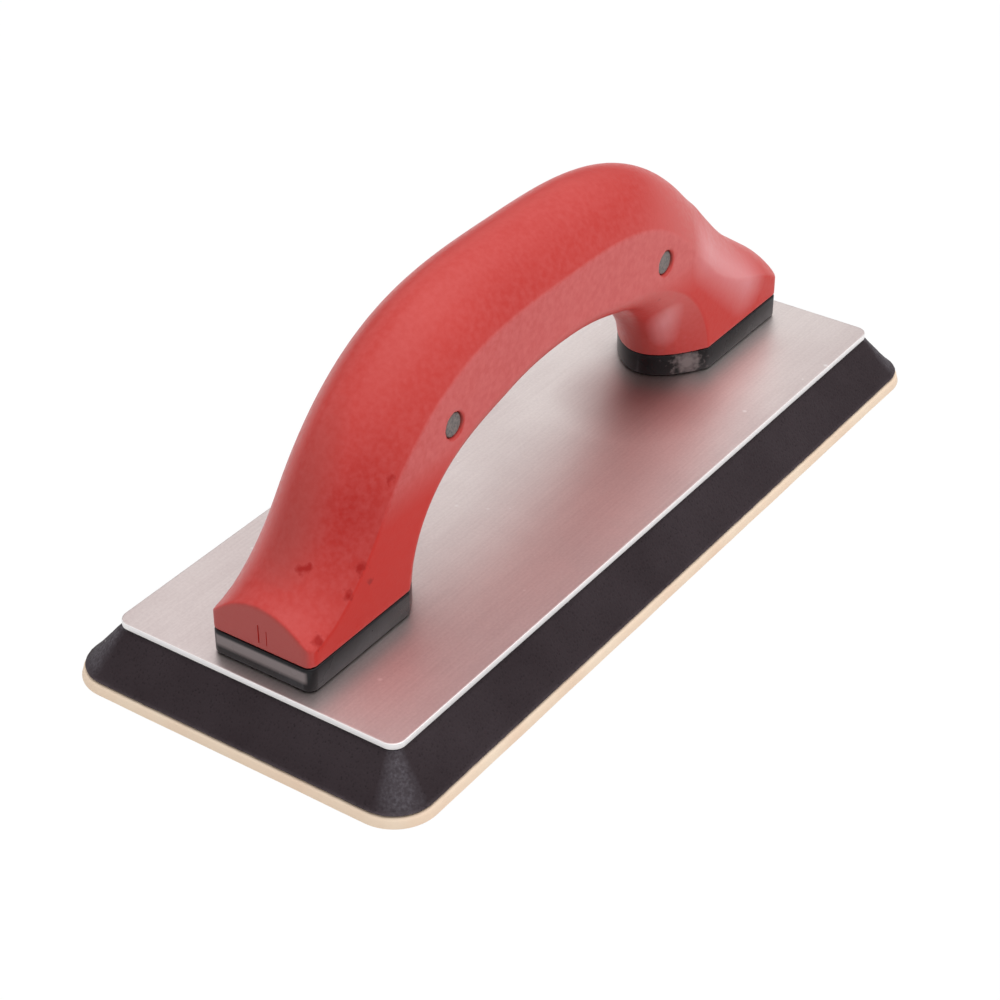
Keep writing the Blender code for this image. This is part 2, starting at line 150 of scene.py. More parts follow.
def loft_mesh(rings: list[Ring]) -> BMesh:
    """Skin a run of rings with the same number of points, with a flat cap at each end.

    Args:
        rings: Rings from first to last.

    Returns:
        The closed mesh.
    """
    bm = bmesh.new()
    rows = [[bm.verts.new(point) for point in ring] for ring in rings]
    count = len(rows[0])
    for row, following in zip(rows, rows[1:]):
        for i in range(count):
            j = (i + 1) % count
            bm.faces.new((row[i], row[j], following[j], following[i]))
    bm.faces.new(reversed(rows[0]))
    bm.faces.new(rows[-1])
    return bm


def slice_off(bm: BMesh, place: Vector, way: Vector) -> None:
    """Drop what lies beyond a plane and close the cut.

    Args:
        bm: The closed mesh to cut.
        place: A point of the plane.
        way: The plane's normal, towards what is dropped.
    """
    everything = bm.verts[:] + bm.edges[:] + bm.faces[:]
    bmesh.ops.bisect_plane(bm, geom=everything, dist=WELD, plane_co=place, plane_no=way, clear_outer=True)
    bmesh.ops.holes_fill(bm, edges=[edge for edge in bm.edges if edge.is_boundary], sides=0)


def rounded_outline(length: float, width: float, radius: float, corner_steps: int, spacing: float) -> Outline:
    """Outline of a rectangle with round corners and evenly divided sides.

    Args:
        length: Size along X.
        width: Size along Y.
        radius: Corner radius.
        corner_steps: Steps round each corner.
        spacing: Rough distance between points of a side, which sets their number by the whole length.

    Returns:
        Points round the outline, from the +X +Y corner.
    """
    corners = ((1, 1), (-1, 1), (-1, -1), (1, -1))
    points: Outline = []
    for quarter, (sx, sy) in enumerate(corners):
        centre_x, centre_y = sx * (length / 2 - radius), sy * (width / 2 - radius)
        for step in range(corner_steps + 1):
            angle = (quarter + step / corner_steps) * math.pi / 2
            points.append((centre_x + radius * math.cos(angle), centre_y + radius * math.sin(angle)))
        along_x = quarter % 2 == 0
        run = length - 2 * radius if along_x else width - 2 * radius
        parts = round((CAD_BOX[1] - CAD_BOX[0])[0 if along_x else 1] / spacing)
        x, y = points[-1]
        for part in range(1, parts):
            step = run * part / parts
            points.append((x - sx * step, y) if along_x else (x, y - sy * step))
    return points


def inset(outline: Outline, distance: float) -> Outline:
    """Move each point of an anticlockwise outline inwards along its normal.

    Args:
        outline: The outline.
        distance: How far the points move.

    Returns:
        The moved outline.
    """
    moved: Outline = []
    for i, (x, y) in enumerate(outline):
        before, after = outline[i - 1], outline[(i + 1) % len(outline)]
        run = Vector((after[0] - before[0], after[1] - before[1])).normalized()
        moved.append((x - run.y * distance, y + run.x * distance))
    return moved


def at_level(outline: Outline, level: float) -> Ring:
    """Lift an outline to a height."""
    return [Vector((x, y, level)) for x, y in outline]


def arris(radius: float, steps: int = 3) -> Outline:
    """Quarter round as (draw-in, rise) pairs, from a strip of the flat face to the flank.

    Args:
        radius: Radius of the round.
        steps: Steps round it.

    Returns:
        The pairs.
    """
    turns = [math.pi / 2 * step / steps for step in range(steps + 1)]
    rounding = [(radius * (1 - math.sin(turn)), radius * (1 - math.cos(turn))) for turn in turns]
    return [(2 * radius, 0.0), *rounding]


def slab_profile(low: float, high: float, foot: Outline, top: Outline) -> Outline:
    """Draw-in and level of each ring of a slab, from the round of its foot to that of its top."""
    return [(draw, low + rise) for draw, rise in foot] + [(draw, high - rise) for draw, rise in reversed(top)]


def bow(half_width: float, rise: float, sweep: float, steps: int) -> Outline:
    """Half of a bow, from its middle out.

    Args:
        half_width: Distance from its middle to its edge.
        rise: Its rise at the edge.
        sweep: Angle of the arc that it is drawn from.
        steps: Steps along it.

    Returns:
        (across, rise) pairs.
    """
    turns = [sweep * step / steps for step in range(steps + 1)]
    return [(half_width * math.sin(turn) / math.sin(sweep), rise * (1 - math.cos(turn)) / (1 - math.cos(sweep)))
            for turn in turns]


def post(name: str, start: Vector, end: Vector, radius: float, rounding: float = 0.0,
         sides: int = 48) -> Object:
    """Round bar between two points, with its end edges rounded.

    Args:
        name: Name of the object.
        start: Middle of the first end face.
        end: Middle of the last end face.
        radius: Radius of the bar.
        rounding: Radius of the rounded end edges, or 0.
        sides: Points round the bar.

    Returns:
        The bar.
    """
    axis = (end - start).normalized()
    across = axis.orthogonal().normalized()
    other = axis.cross(across)
    edge = arris(rounding) if rounding else [(0.0, 0.0)]
    length = (end - start).length
    stops = edge + [(draw, length - rise) for draw, rise in reversed(edge)]
    rings = []
    for draw, along in stops:
        ring = []
        for side in range(sides):
            angle = 2 * math.pi * side / sides
            out = across * math.cos(angle) + other * math.sin(angle)
            ring.append(start + axis * along + out * (radius - draw))
        rings.append(ring)
    return mesh_object(name, loft_mesh(rings))


def upright(name: str, x: float, bottom: float, top: float, radius: float) -> Object:
    """Round bar that stands on the float's long middle line."""
    return post(name, Vector((x, 0.0, bottom)), Vector((x, 0.0, top)), radius)


def combine(target: Object, operand: Object, cut: Cut) -> None:
    """Join or take away a second solid, which is used up.

    Args:
        target: The solid that changes.
        operand: The second solid.
        cut: How it changes.
    """
    step = target.modifiers.new(cut.name.lower(), "BOOLEAN")
    step.object = operand
    step.operation = cut.value
    step.solver = "EXACT"
    settle(target)
    bpy.data.objects.remove(operand, do_unlink=True)


def settle(target: Object) -> None:
    """Apply the object's modifiers to its mesh, and close any gap that they left.

    Args:
        target: The object.
    """
    bpy.context.view_layer.update()
    depsgraph = bpy.context.evaluated_depsgraph_get()
    old = target.data
    target.data = bpy.data.meshes.new_from_object(target.evaluated_get(depsgraph))
    target.modifiers.clear()
    bpy.data.meshes.remove(old)
    bm = bmesh.new()
    bm.from_mesh(target.data)
    rims = [edge for edge in bm.edges if edge.is_boundary]
    if rims:
        bmesh.ops.holes_fill(bm, edges=rims, sides=0)
        bm.to_mesh(target.data)
    bm.free()


def finish_piece(piece: Object, material: Material, node: str,
                 sharp: float = 40.0) -> Object:
    """Shade a new piece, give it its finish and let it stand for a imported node.

    Args:
        piece: The piece.
        material: Its finish.
        node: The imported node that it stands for.
        sharp: Edges that turn by more degrees than this stay sharp.

    Returns:
        The piece.
    """
    piece.data.materials.clear()
    piece.data.materials.append(material)
    piece.data.shade_smooth()
    piece.data.set_sharp_from_angle(angle=math.radians(sharp))
    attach(piece, BODY)
    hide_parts(node)
    LOG.info("%s stands for %s, %d faces", piece.name, node, len(piece.data.polygons))
    return piece


class Sketch:
    """Draws one shader node tree."""

    def __init__(self, tree: NodeTree) -> None:
        """Start on a tree."""
        self.tree = tree

    def feed(self, socket: NodeSocket, value: Feed) -> None:
        """Link a socket to another one, or set its plain value.

        Args:
            socket: The socket that takes the value.
            value: The other socket, or the plain value.
        """
        if isinstance(value, NodeSocket):
            self.tree.links.new(value, socket)
        elif socket.type == "RGBA":
            socket.default_value = (*value, 1.0)
        else:
            socket.default_value = value

    def add(self, kind: str, inputs: dict[str | int, Feed], **settings: object) -> Node:
        """Add a node.

        Args:
            kind: Type of node, without its ShaderNode prefix.
            inputs: Values or links by the socket's name or number.
            settings: Properties of the node.

        Returns:
            The node.
        """
        node = self.tree.nodes.new("ShaderNode" + kind)
        for name, value in settings.items():
            setattr(node, name, value)
        for name, value in inputs.items():
            self.feed(node.inputs[name], value)
        return node

    def place(self, group: NodeTree, inputs: dict[str, Feed]) -> Node:
        """Place a shader group with its own values."""
        return self.add("Group", inputs, node_tree=group)

    def sums(self, operation: str, first: Feed, second: Feed) -> NodeSocket:
        """Result of one sum on two values."""
        return self.add("Math", {0: first, 1: second}, operation=operation).outputs[0]

    def times(self, first: Feed, second: Feed) -> NodeSocket:
        """One value times another."""
        return self.sums("MULTIPLY", first, second)

    def plus(self, first: Feed, second: Feed) -> NodeSocket:
        """One value and another."""
        return self.sums("ADD", first, second)

    def most(self, first: Feed, second: Feed) -> NodeSocket:
        """The greater of two values."""
        return self.sums("MAXIMUM", first, second)

    def arrows(self, operation: str, first: Feed, second: Feed) -> Node:
        """One sum on two vectors."""
        return self.add("VectorMath", {0: first, 1: second}, operation=operation)

    def span(self, value: Feed, low: Feed, high: Feed, start: float = 0.0, end: float = 1.0) -> NodeSocket:
        """Value between low and high, drawn out over start to end."""
        return self.add("MapRange", {"Value": value, "From Min": low, "From Max": high,
                                     "To Min": start, "To Max": end}).outputs[0]

    def blend(self, share: Feed, first: Feed, second: Feed) -> NodeSocket:
        """Colour between two others."""
        return self.add("Mix", {0: share, 6: first, 7: second}, data_type="RGBA").outputs[2]

    def clouds(self, where: Feed, scale: Feed, detail: Feed) -> NodeSocket:
        """Cloudy noise."""
        return self.add("TexNoise", {"Vector": where, "Scale": scale, "Detail": detail}).outputs[0]

    def bump(self, height: Feed, strength: float, distance: float) -> NodeSocket:
        """Normal of a surface with this height."""
        return self.add("Bump", {"Height": height, "Strength": strength, "Distance": distance}).outputs[0]


class ShaderGroups:
    """Surface effects that the finishes share, each one built once."""

    def __init__(self) -> None:
        """Build every group."""
        self.mottle = self._mottle()
        self.grain = self._grain()
        self.flecks = self._flecks()
        self.rolled = self._rolled()
        self.edges = self._edges()
        self.spot = self._spot()
        self.facing = self._facing()

    @staticmethod
    def _start(name: str, inputs: dict[str, Feed], outputs: tuple[str, ...]
               ) -> tuple[Sketch, dict[str, NodeSocket], dict[str, NodeSocket]]:
        """Open a group.

        Args:
            name: Name of the group.
            inputs: Default value of each input, three numbers for a vector.
            outputs: Names of the values that come out.

        Returns:
            The sketch, the sockets that bring the inputs in, and the sockets that take the outputs.
        """
        tree = bpy.data.node_groups.new(name, "ShaderNodeTree")
        for label, value in inputs.items():
            kind = "NodeSocketVector" if isinstance(value, tuple) else "NodeSocketFloat"
            tree.interface.new_socket(label, in_out="INPUT", socket_type=kind).default_value = value
        for label in outputs:
            tree.interface.new_socket(label, in_out="OUTPUT", socket_type="NodeSocketFloat")
        way_in = tree.nodes.new("NodeGroupInput")
        way_out = tree.nodes.new("NodeGroupOutput")
        return (Sketch(tree), {label: way_in.outputs[label] for label in inputs},
                {label: way_out.inputs[label] for label in outputs})

    def _mottle(self) -> NodeTree:
        """Cloudy patches, as a mask.

        Returns:
            The group.
        """
        sketch, given, out = self._start(
            "mottle", {"Vector": ORIGIN, "Scale": 20.0, "Detail": 3.0, "Low": 0.35, "High": 0.65}, ("Mask",))
        cloud = sketch.clouds(given["Vector"], given["Scale"], given["Detail"])
        sketch.feed(out["Mask"], sketch.span(cloud, given["Low"], given["High"]))
        return sketch.tree

    def _grain(self) -> NodeTree:
        """Fine moulded or cut grain, as a height and as a mask of its hollows.

        Returns:
            The group.
        """
        sketch, given, out = self._start(
            "grain", {"Vector": ORIGIN, "Scale": 900.0, "Cells": 0.5}, ("Height", "Hollows"))
        cloud = sketch.clouds(given["Vector"], given["Scale"], 4.0)
        cells = sketch.add("TexVoronoi", {"Vector": given["Vector"], "Scale": given["Scale"]})
        height = sketch.plus(cloud, sketch.times(cells.outputs["Distance"], given["Cells"]))
        sketch.feed(out["Height"], height)
        sketch.feed(out["Hollows"], sketch.span(height, 0.75, 0.45))
        return sketch.tree

    def _flecks(self) -> NodeTree:
        """Scattered small specks, as a mask.

        Returns:
            The group.
        """
        sketch, given, out = self._start(
            "flecks", {"Vector": ORIGIN, "Scale": 200.0, "Share": 0.1, "Size": 0.2}, ("Mask",))
        cells = sketch.add("TexVoronoi", {"Vector": given["Vector"], "Scale": given["Scale"]})
        draw = sketch.add("SeparateColor", {"Color": cells.outputs["Color"]})
        chosen = sketch.sums("LESS_THAN", draw.outputs[0], given["Share"])
        width = sketch.times(given["Size"], draw.outputs[1])
        inside = sketch.span(cells.outputs["Distance"], width, sketch.times(width, 0.4))
        sketch.feed(out["Mask"], sketch.times(chosen, inside))
        return sketch.tree

    def _rolled(self) -> NodeTree:
        """Fine lines along X, as rolling or brushing leaves them in metal.

        Returns:
            The group.
        """
        sketch, given, out = self._start(
            "rolled", {"Vector": ORIGIN, "Along": 12.0, "Across": 1400.0}, ("Height",))
        stretch = sketch.add("CombineXYZ", {"X": given["Along"], "Y": given["Across"], "Z": given["Across"]})
        drawn = sketch.arrows("MULTIPLY", given["Vector"], stretch.outputs[0])
        sketch.feed(out["Height"], sketch.clouds(drawn.outputs[0], 1.0, 5.0))
        return sketch.tree

    def _edges(self) -> NodeTree:
        """Mask of sharp outer edges, by how sharply the surface bends, broken up by patches.

        Returns:
            The group.
        """
        sketch, given, out = self._start(
            "edges", {"Vector": ORIGIN, "Low": 0.52, "High": 0.6, "Patches": 150.0}, ("Mask",))
        bend = sketch.add("NewGeometry", {}).outputs["Pointiness"]
        # Sharp edges: wear on the core, a painted sheen on the sponge, darker red on the grip.
        rubbed_and_sheen = sketch.span(bend, given["Low"], given["High"])
        patches = sketch.clouds(given["Vector"], given["Patches"], 3.0)
        broken = sketch.span(patches, 0.3, 0.6, 0.45, 1.0)
        sketch.feed(out["Mask"], sketch.times(rubbed_and_sheen, broken))
        return sketch.tree

    def _spot(self) -> NodeTree:
        """One soft round spot with an uneven rim, or a streak where it is drawn out along a way.

        Returns:
            The group.
        """
        sketch, given, out = self._start(
            "spot", {"Vector": ORIGIN, "Centre": ORIGIN, "Along": ORIGIN,
                     "Radius": 0.002, "Rim": 0.3, "Uneven": 0.45}, ("Mask",))
        uneven = sketch.clouds(given["Vector"], 700.0, 2.0)
        offset = sketch.arrows("SUBTRACT", given["Vector"], given["Centre"]).outputs[0]
        ahead = sketch.arrows("DOT_PRODUCT", offset, given["Along"]).outputs["Value"]
        whole = sketch.arrows("DOT_PRODUCT", given["Along"], given["Along"]).outputs["Value"]
        share = sketch.span(sketch.sums("DIVIDE", ahead, whole), 0.0, 1.0)
        nearest = sketch.arrows("MULTIPLY", given["Along"], share).outputs[0]
        gap = sketch.arrows("DISTANCE", offset, nearest)
        swing = sketch.times(sketch.span(uneven, 0.3, 0.7, -1.0, 1.0), given["Uneven"])
        reach = sketch.times(gap.outputs["Value"], sketch.plus(swing, 1.0))
        core = sketch.times(given["Radius"], given["Rim"])
        sketch.feed(out["Mask"], sketch.span(reach, given["Radius"], core))
        return sketch.tree

    def _facing(self) -> NodeTree:
        """Which way the surface faces: along X, across on Y, up or down, and the upright corners between.

        Returns:
            The group.
        """
        sketch, given, out = self._start(
            "facing", {"Low": 0.8, "High": 0.97, "Corner Low": 0.1, "Corner High": 0.22},
            ("Ends", "Sides", "Flats", "Corners"))
        normal = sketch.add("NewGeometry", {}).outputs["Normal"]
        size = sketch.add("VectorMath", {0: normal}, operation="ABSOLUTE")
        part = sketch.add("SeparateXYZ", {"Vector": size.outputs[0]})
        for label, axis in (("Ends", "X"), ("Sides", "Y"), ("Flats", "Z")):
            sketch.feed(out[label], sketch.span(part.outputs[axis], given["Low"], given["High"]))
        both = sketch.times(part.outputs["X"], part.outputs["Y"])
        sketch.feed(out["Corners"], sketch.span(both, given["Corner Low"], given["Corner High"]))
        return sketch.tree


@dataclass(frozen=True)
class Spot:
    """A spot on a surface, or a streak where it is drawn out along a way."""

    centre: Triple
    radius: float
    along: Triple = ORIGIN


class Coat(Sketch):
    """Draws one material with the shared effects."""

    def __init__(self, name: str, groups: ShaderGroups) -> None:
        """Open a new material.

        Args:
            name: Name of the material.
            groups: The shared effects.
        """
        self.material = bpy.data.materials.new(name)
        self.material.use_nodes = True
        super().__init__(self.material.node_tree)
        self.groups = groups
        self.shader = self.tree.nodes["Principled BSDF"]
        self.where = self.add("TexCoord", {}).outputs["Object"]

    def set(self, name: str, value: Feed) -> None:
        """Set or link one input of the shader."""
        self.feed(self.shader.inputs[name], value)

    def effect(self, group: NodeTree, inputs: dict[str, Feed]) -> NodeOutputs:
        """What a shared effect gives at each place on the piece."""
        return self.place(group, {"Vector": self.where, **inputs}).outputs

    def axes(self) -> NodeOutputs:
        """X, Y and Z of the place on the piece, in metres."""
        return self.add("SeparateXYZ", {"Vector": self.where}).outputs

    def layers(self, colour: Feed, tints: tuple[tuple[Feed, float, Colour], ...]) -> Feed:
        """Lay tints over a colour, each by its mask and the most of it that shows.

        Args:
            colour: The colour below.
            tints: Mask, share and colour of each tint, from the lowest.

        Returns:
            The colour with the tints.
        """
        for mask, share, tint in tints:
            colour = self.blend(self.times(mask, share), colour, tint)
        return colour

    def spotted(self, spots: tuple[Spot, ...], soft: bool = False) -> Feed:
        """Mask of several spots.

        Args:
            spots: The spots.
            soft: Whether they fade out evenly from their middles, or have uneven rims.

        Returns:
            The mask.
        """
        rim = {"Rim": 0.1, "Uneven": 0.0} if soft else {}
        mask: Feed = 0.0
        for spot in spots:
            inputs = {"Centre": spot.centre, "Along": spot.along, "Radius": spot.radius, **rim}
            mask = self.most(mask, self.effect(self.groups.spot, inputs)["Mask"])
        return mask


@dataclass(frozen=True)
class Finish:
    """A finish: the values that are the same all over it, and how far it varies.

    The swing is the change of roughness at both ends of a mask, the relief is the bump's strength and its depth.
    """

    name: str
    roughness: float
    metallic: float = 0.0
    specular: float = 0.5
    swing: Pair = (0.0, 0.0)
    relief: Pair = (0.1, 0.0001)

    def make(self, groups: ShaderGroups) -> Material:
        """Build the material.

        Args:
            groups: The shared effects.

        Returns:
            The material.
        """
        coat = Coat(self.name, groups)
        coat.set("Roughness", self.roughness)
        coat.set("Metallic", self.metallic)
        coat.set("Specular IOR Level", self.specular)
        self.paint(coat)
        return coat.material

    def paint(self, coat: Coat) -> None:
        """Draw what differs from place to place: nothing, for a plain finish."""

    def vary(self, coat: Coat, mask: Feed, height: Feed) -> None:
        """Let the roughness swing by a mask, and raise the surface by a height."""
        coat.set("Roughness", coat.span(mask, 0.0, 1.0, *(self.roughness + change for change in self.swing)))
        coat.set("Normal", coat.bump(height, *self.relief))


@dataclass(frozen=True)
class GumFinish(Finish):
    """Tan gum rubber, matte and a little cloudy."""

    swing: Pair = (-0.06, 0.06)
    relief: Pair = (0.25, 0.0002)
    body: Colour = screen(244, 215, 189)
    pale: Colour = screen(250, 230, 206)

    def paint(self, coat: Coat) -> None:
        """Draw what differs from place to place.

        Args:
            coat: The open material.
        """
        groups = coat.groups
        cloud = coat.effect(groups.mottle, {"Scale": 60.0, "Low": 0.3, "High": 0.7})
        grain = coat.effect(groups.grain, {"Scale": 1100.0, "Cells": 0.3})
        coat.set("Base Color", coat.blend(cloud["Mask"], self.body, self.pale))
        self.vary(coat, cloud["Mask"], grain["Height"])


@dataclass(frozen=True)
class SpongeFinish(Finish):
    """Black sponge rubber with a fine open grain and a little dust, a speckled painted sheen on its upright corners
    and a lighter painted sheen along its sharp edges.
    """

    swing: Pair = (0.1, -0.1)
    relief: Pair = (0.5, 0.0003)
    body: Colour = screen(45, 35, 39)
    grey: Colour = screen(84, 74, 79)
    # Paler grey of the painted sheen on the upright corners.
    worn_and_sheen: Colour = screen(108, 103, 110)
    hollow: Colour = screen(26, 20, 23)
    dust: Colour = screen(190, 186, 184)

    def paint(self, coat: Coat) -> None:
        """Draw what differs from place to place.

        Args:
            coat: The open material.
        """
        groups = coat.groups
        cloud = coat.effect(groups.mottle, {"Scale": 45.0, "Low": 0.3, "High": 0.75})
        grain = coat.effect(groups.grain, {"Scale": 1300.0, "Cells": 0.8})
        # Sharp edges: a lighter grey painted sheen.
        rubbed_and_sheen = coat.effect(groups.edges, {"Low": 0.51, "High": 0.56, "Patches": 400.0})
        dust = coat.effect(groups.flecks, {"Scale": 260.0, "Share": 0.035, "Size": 0.22})
        facing = coat.place(groups.facing, {"Corner Low": 0.06, "Corner High": 0.3}).outputs
        speckle = coat.effect(groups.mottle, {"Scale": 1500.0, "Low": 0.4, "High": 0.7})
        # Painted sheen: the upright corners are painted a speckled paler grey, where the rounded corner catches light.
        worn_and_sheen = coat.times(facing["Corners"], coat.span(speckle["Mask"], 0.0, 1.0, 0.25, 0.7))
        # Grey of the cloudy patches, and of the painted sheen along the sharp edges.
        pale = coat.plus(coat.times(cloud["Mask"], 0.25), coat.times(rubbed_and_sheen["Mask"], 0.5))
        coat.set("Base Color", coat.layers(self.body, (
            (pale, 1.0, self.grey), (grain["Hollows"], 0.5, self.hollow), (worn_and_sheen, 1.0, self.worn_and_sheen),
            (dust["Mask"], 1.0, self.dust))))
        self.vary(coat, coat.span(grain["Height"], 0.4, 0.9), grain["Height"])


@dataclass(frozen=True)
class PlateFinish(Finish):
    """Mill-finish aluminium sheet with faint rolled lines, cloudy patches and specks, darker towards the heel end,
    with painted shade along its near long edge, a painted shadow and red reflection beside the toe foot, and a painted
    white highlight on its cut edge faces.
    """

    swing: Pair = (-0.015, 0.015)
    relief: Pair = (0.03, 0.0001)
    body: Colour = screen(239, 229, 226)
    # Darker grey of the cloudy patches and rolled lines, of the darkening towards the heel end, and of the painted
    # shade along the near long edge.
    haze_and_shade: Colour = screen(198, 182, 181)
    # Near white of the specks and of the painted highlight on the cut edge faces.
    speck_and_edge_highlight: Colour = screen(253, 250, 250)
    # Metalness of the cut edge faces, lowered so that their painted highlight shows.
    edge_metallic: float = 0.3
    heel_dark_from: float = -0.105
    heel_dark_to: float = 0.060
    edge_shade_from: float = -0.045
    edge_shade_to: float = -0.022
    # Painted shadow and dark red reflection on the plate beside the toe foot's nose.
    toe_shadow_red: Colour = screen(148, 92, 92)
    toe_shadows: tuple[Spot, ...] = (Spot((0.044, -0.006, 0.0154), 0.024),)

    def paint(self, coat: Coat) -> None:
        """Draw what differs from place to place.

        Args:
            coat: The open material.
        """
        groups = coat.groups
        cloud = coat.effect(groups.mottle, {"Scale": 28.0, "Detail": 4.0, "Low": 0.35, "High": 0.7})
        lines = coat.effect(groups.rolled, {"Along": 40.0, "Across": 1500.0})
        grain = coat.effect(groups.mottle, {"Scale": 1300.0, "Detail": 4.0})
        specks = coat.effect(groups.flecks, {"Scale": 300.0, "Share": 0.05, "Size": 0.25})
        facing = coat.place(groups.facing, {"Low": 0.8, "High": 0.99}).outputs
        axes = coat.axes()
        shade = coat.times(cloud["Mask"], 0.3)
        # Darker towards the heel end.
        shade = coat.plus(shade, coat.span(axes["X"], self.heel_dark_from, self.heel_dark_to, 0.55, 0.0))
        # Painted shade: darker along the near long edge, standing in for a darker reflection there.
        shade = coat.plus(shade, coat.span(axes["Y"], self.edge_shade_from, self.edge_shade_to, 0.5, 0.0))
        shade = coat.plus(shade, coat.span(lines["Height"], 0.35, 0.65, -0.06, 0.06))
        shade = coat.plus(shade, coat.span(grain["Mask"], 0.0, 1.0, -0.07, 0.07))
        colour = coat.blend(shade, self.body, self.haze_and_shade)
        colour = coat.layers(colour, ((coat.spotted(self.toe_shadows, soft=True), 0.55, self.toe_shadow_red),
                                      (specks["Mask"], 0.5, self.speck_and_edge_highlight)))
        # Painted highlight: the upright edge faces and their rounded arrises are painted near white and less metallic,
        # so they show white under any light.
        coat.set("Base Color", coat.blend(facing["Flats"], self.speck_and_edge_highlight, colour))
        coat.set("Metallic", coat.span(facing["Flats"], 0.0, 1.0, self.edge_metallic, self.metallic))
        self.vary(coat, cloud["Mask"], lines["Height"])


@dataclass(frozen=True)
class CoreFinish(Finish):
    """Black moulded plastic, satin, with a painted grey floor reflection in a band across its outer end faces, a paler
    grey patch on the toe foot's wall, and grey where the peg ends are trimmed.
    """

    swing: Pair = (-0.07, 0.07)
    relief: Pair = (0.15, 0.0001)
    body: Colour = screen(24, 22, 24)
    # Lighter grey of the wear on sharp edges and specks, of the cloudy patches and of the peg ends.
    rubbed_and_sheen: Colour = screen(66, 66, 70)
    # Grey of the painted floor reflection on the outer end faces, also used for the paler patch on the toe foot's
    # wall.
    painted_reflection: Colour = screen(140, 128, 128)
    trimmed: Colour = screen(124, 114, 110)
    trim_low: float = 0.040
    trim_high: float = 0.042
    # Heights and reach along X of the band of painted reflection on the end faces.
    reflection_low: float = 0.0176
    reflection_high: float = 0.0188
    reflection_top: float = 0.0214
    reflection_fade: float = 0.0006
    reflection_from: float = 0.090
    reflection_full: float = 0.100
    # A paler grey patch on the toe foot's wall towards the fingers.
    pale_patches: tuple[Spot, ...] = (Spot((0.0606, -0.0118, 0.0194), 0.0050),)

    def paint(self, coat: Coat) -> None:
        """Draw what differs from place to place.

        Args:
            coat: The open material.
        """
        groups = coat.groups
        cloud = coat.effect(groups.mottle, {"Scale": 90.0, "Low": 0.35, "High": 0.7})
        grain = coat.effect(groups.grain, {"Scale": 1600.0, "Cells": 0.3})
        edges = coat.effect(groups.edges, {"Low": 0.53, "High": 0.6, "Patches": 220.0})
        specks = coat.effect(groups.flecks, {"Scale": 420.0, "Share": 0.04, "Size": 0.25})
        facing = coat.place(groups.facing, {"Low": 0.85, "High": 0.98}).outputs
        axes = coat.axes()
        # Wear: lighter grey on sharp edges, and specks.
        worn_and_sheen = coat.plus(coat.times(edges["Mask"], 0.6), specks["Mask"])
        # Painted reflection: a grey band across the outer end faces stands in for the white floor that they mirror;
        # below it they stay black where they mirror the dark pad.
        band = coat.times(coat.span(axes["Z"], self.reflection_low, self.reflection_high),
                          coat.span(axes["Z"], self.reflection_top, self.reflection_top - self.reflection_fade))
        outer = coat.span(coat.sums("ABSOLUTE", axes["X"], 0.0), self.reflection_from, self.reflection_full)
        painted_reflection = coat.times(coat.times(facing["Ends"], outer), band)
        colour = coat.layers(self.body, (
            (worn_and_sheen, 1.0, self.rubbed_and_sheen), (cloud["Mask"], 0.2, self.rubbed_and_sheen),
            (coat.most(painted_reflection, coat.spotted(self.pale_patches)), 0.8, self.painted_reflection)))
        ends = coat.blend(coat.times(grain["Hollows"], 0.7), self.trimmed, self.rubbed_and_sheen)
        coat.set("Base Color", coat.blend(coat.span(axes["Z"], self.trim_low, self.trim_high), colour, ends))
        self.vary(coat, cloud["Mask"], grain["Height"])


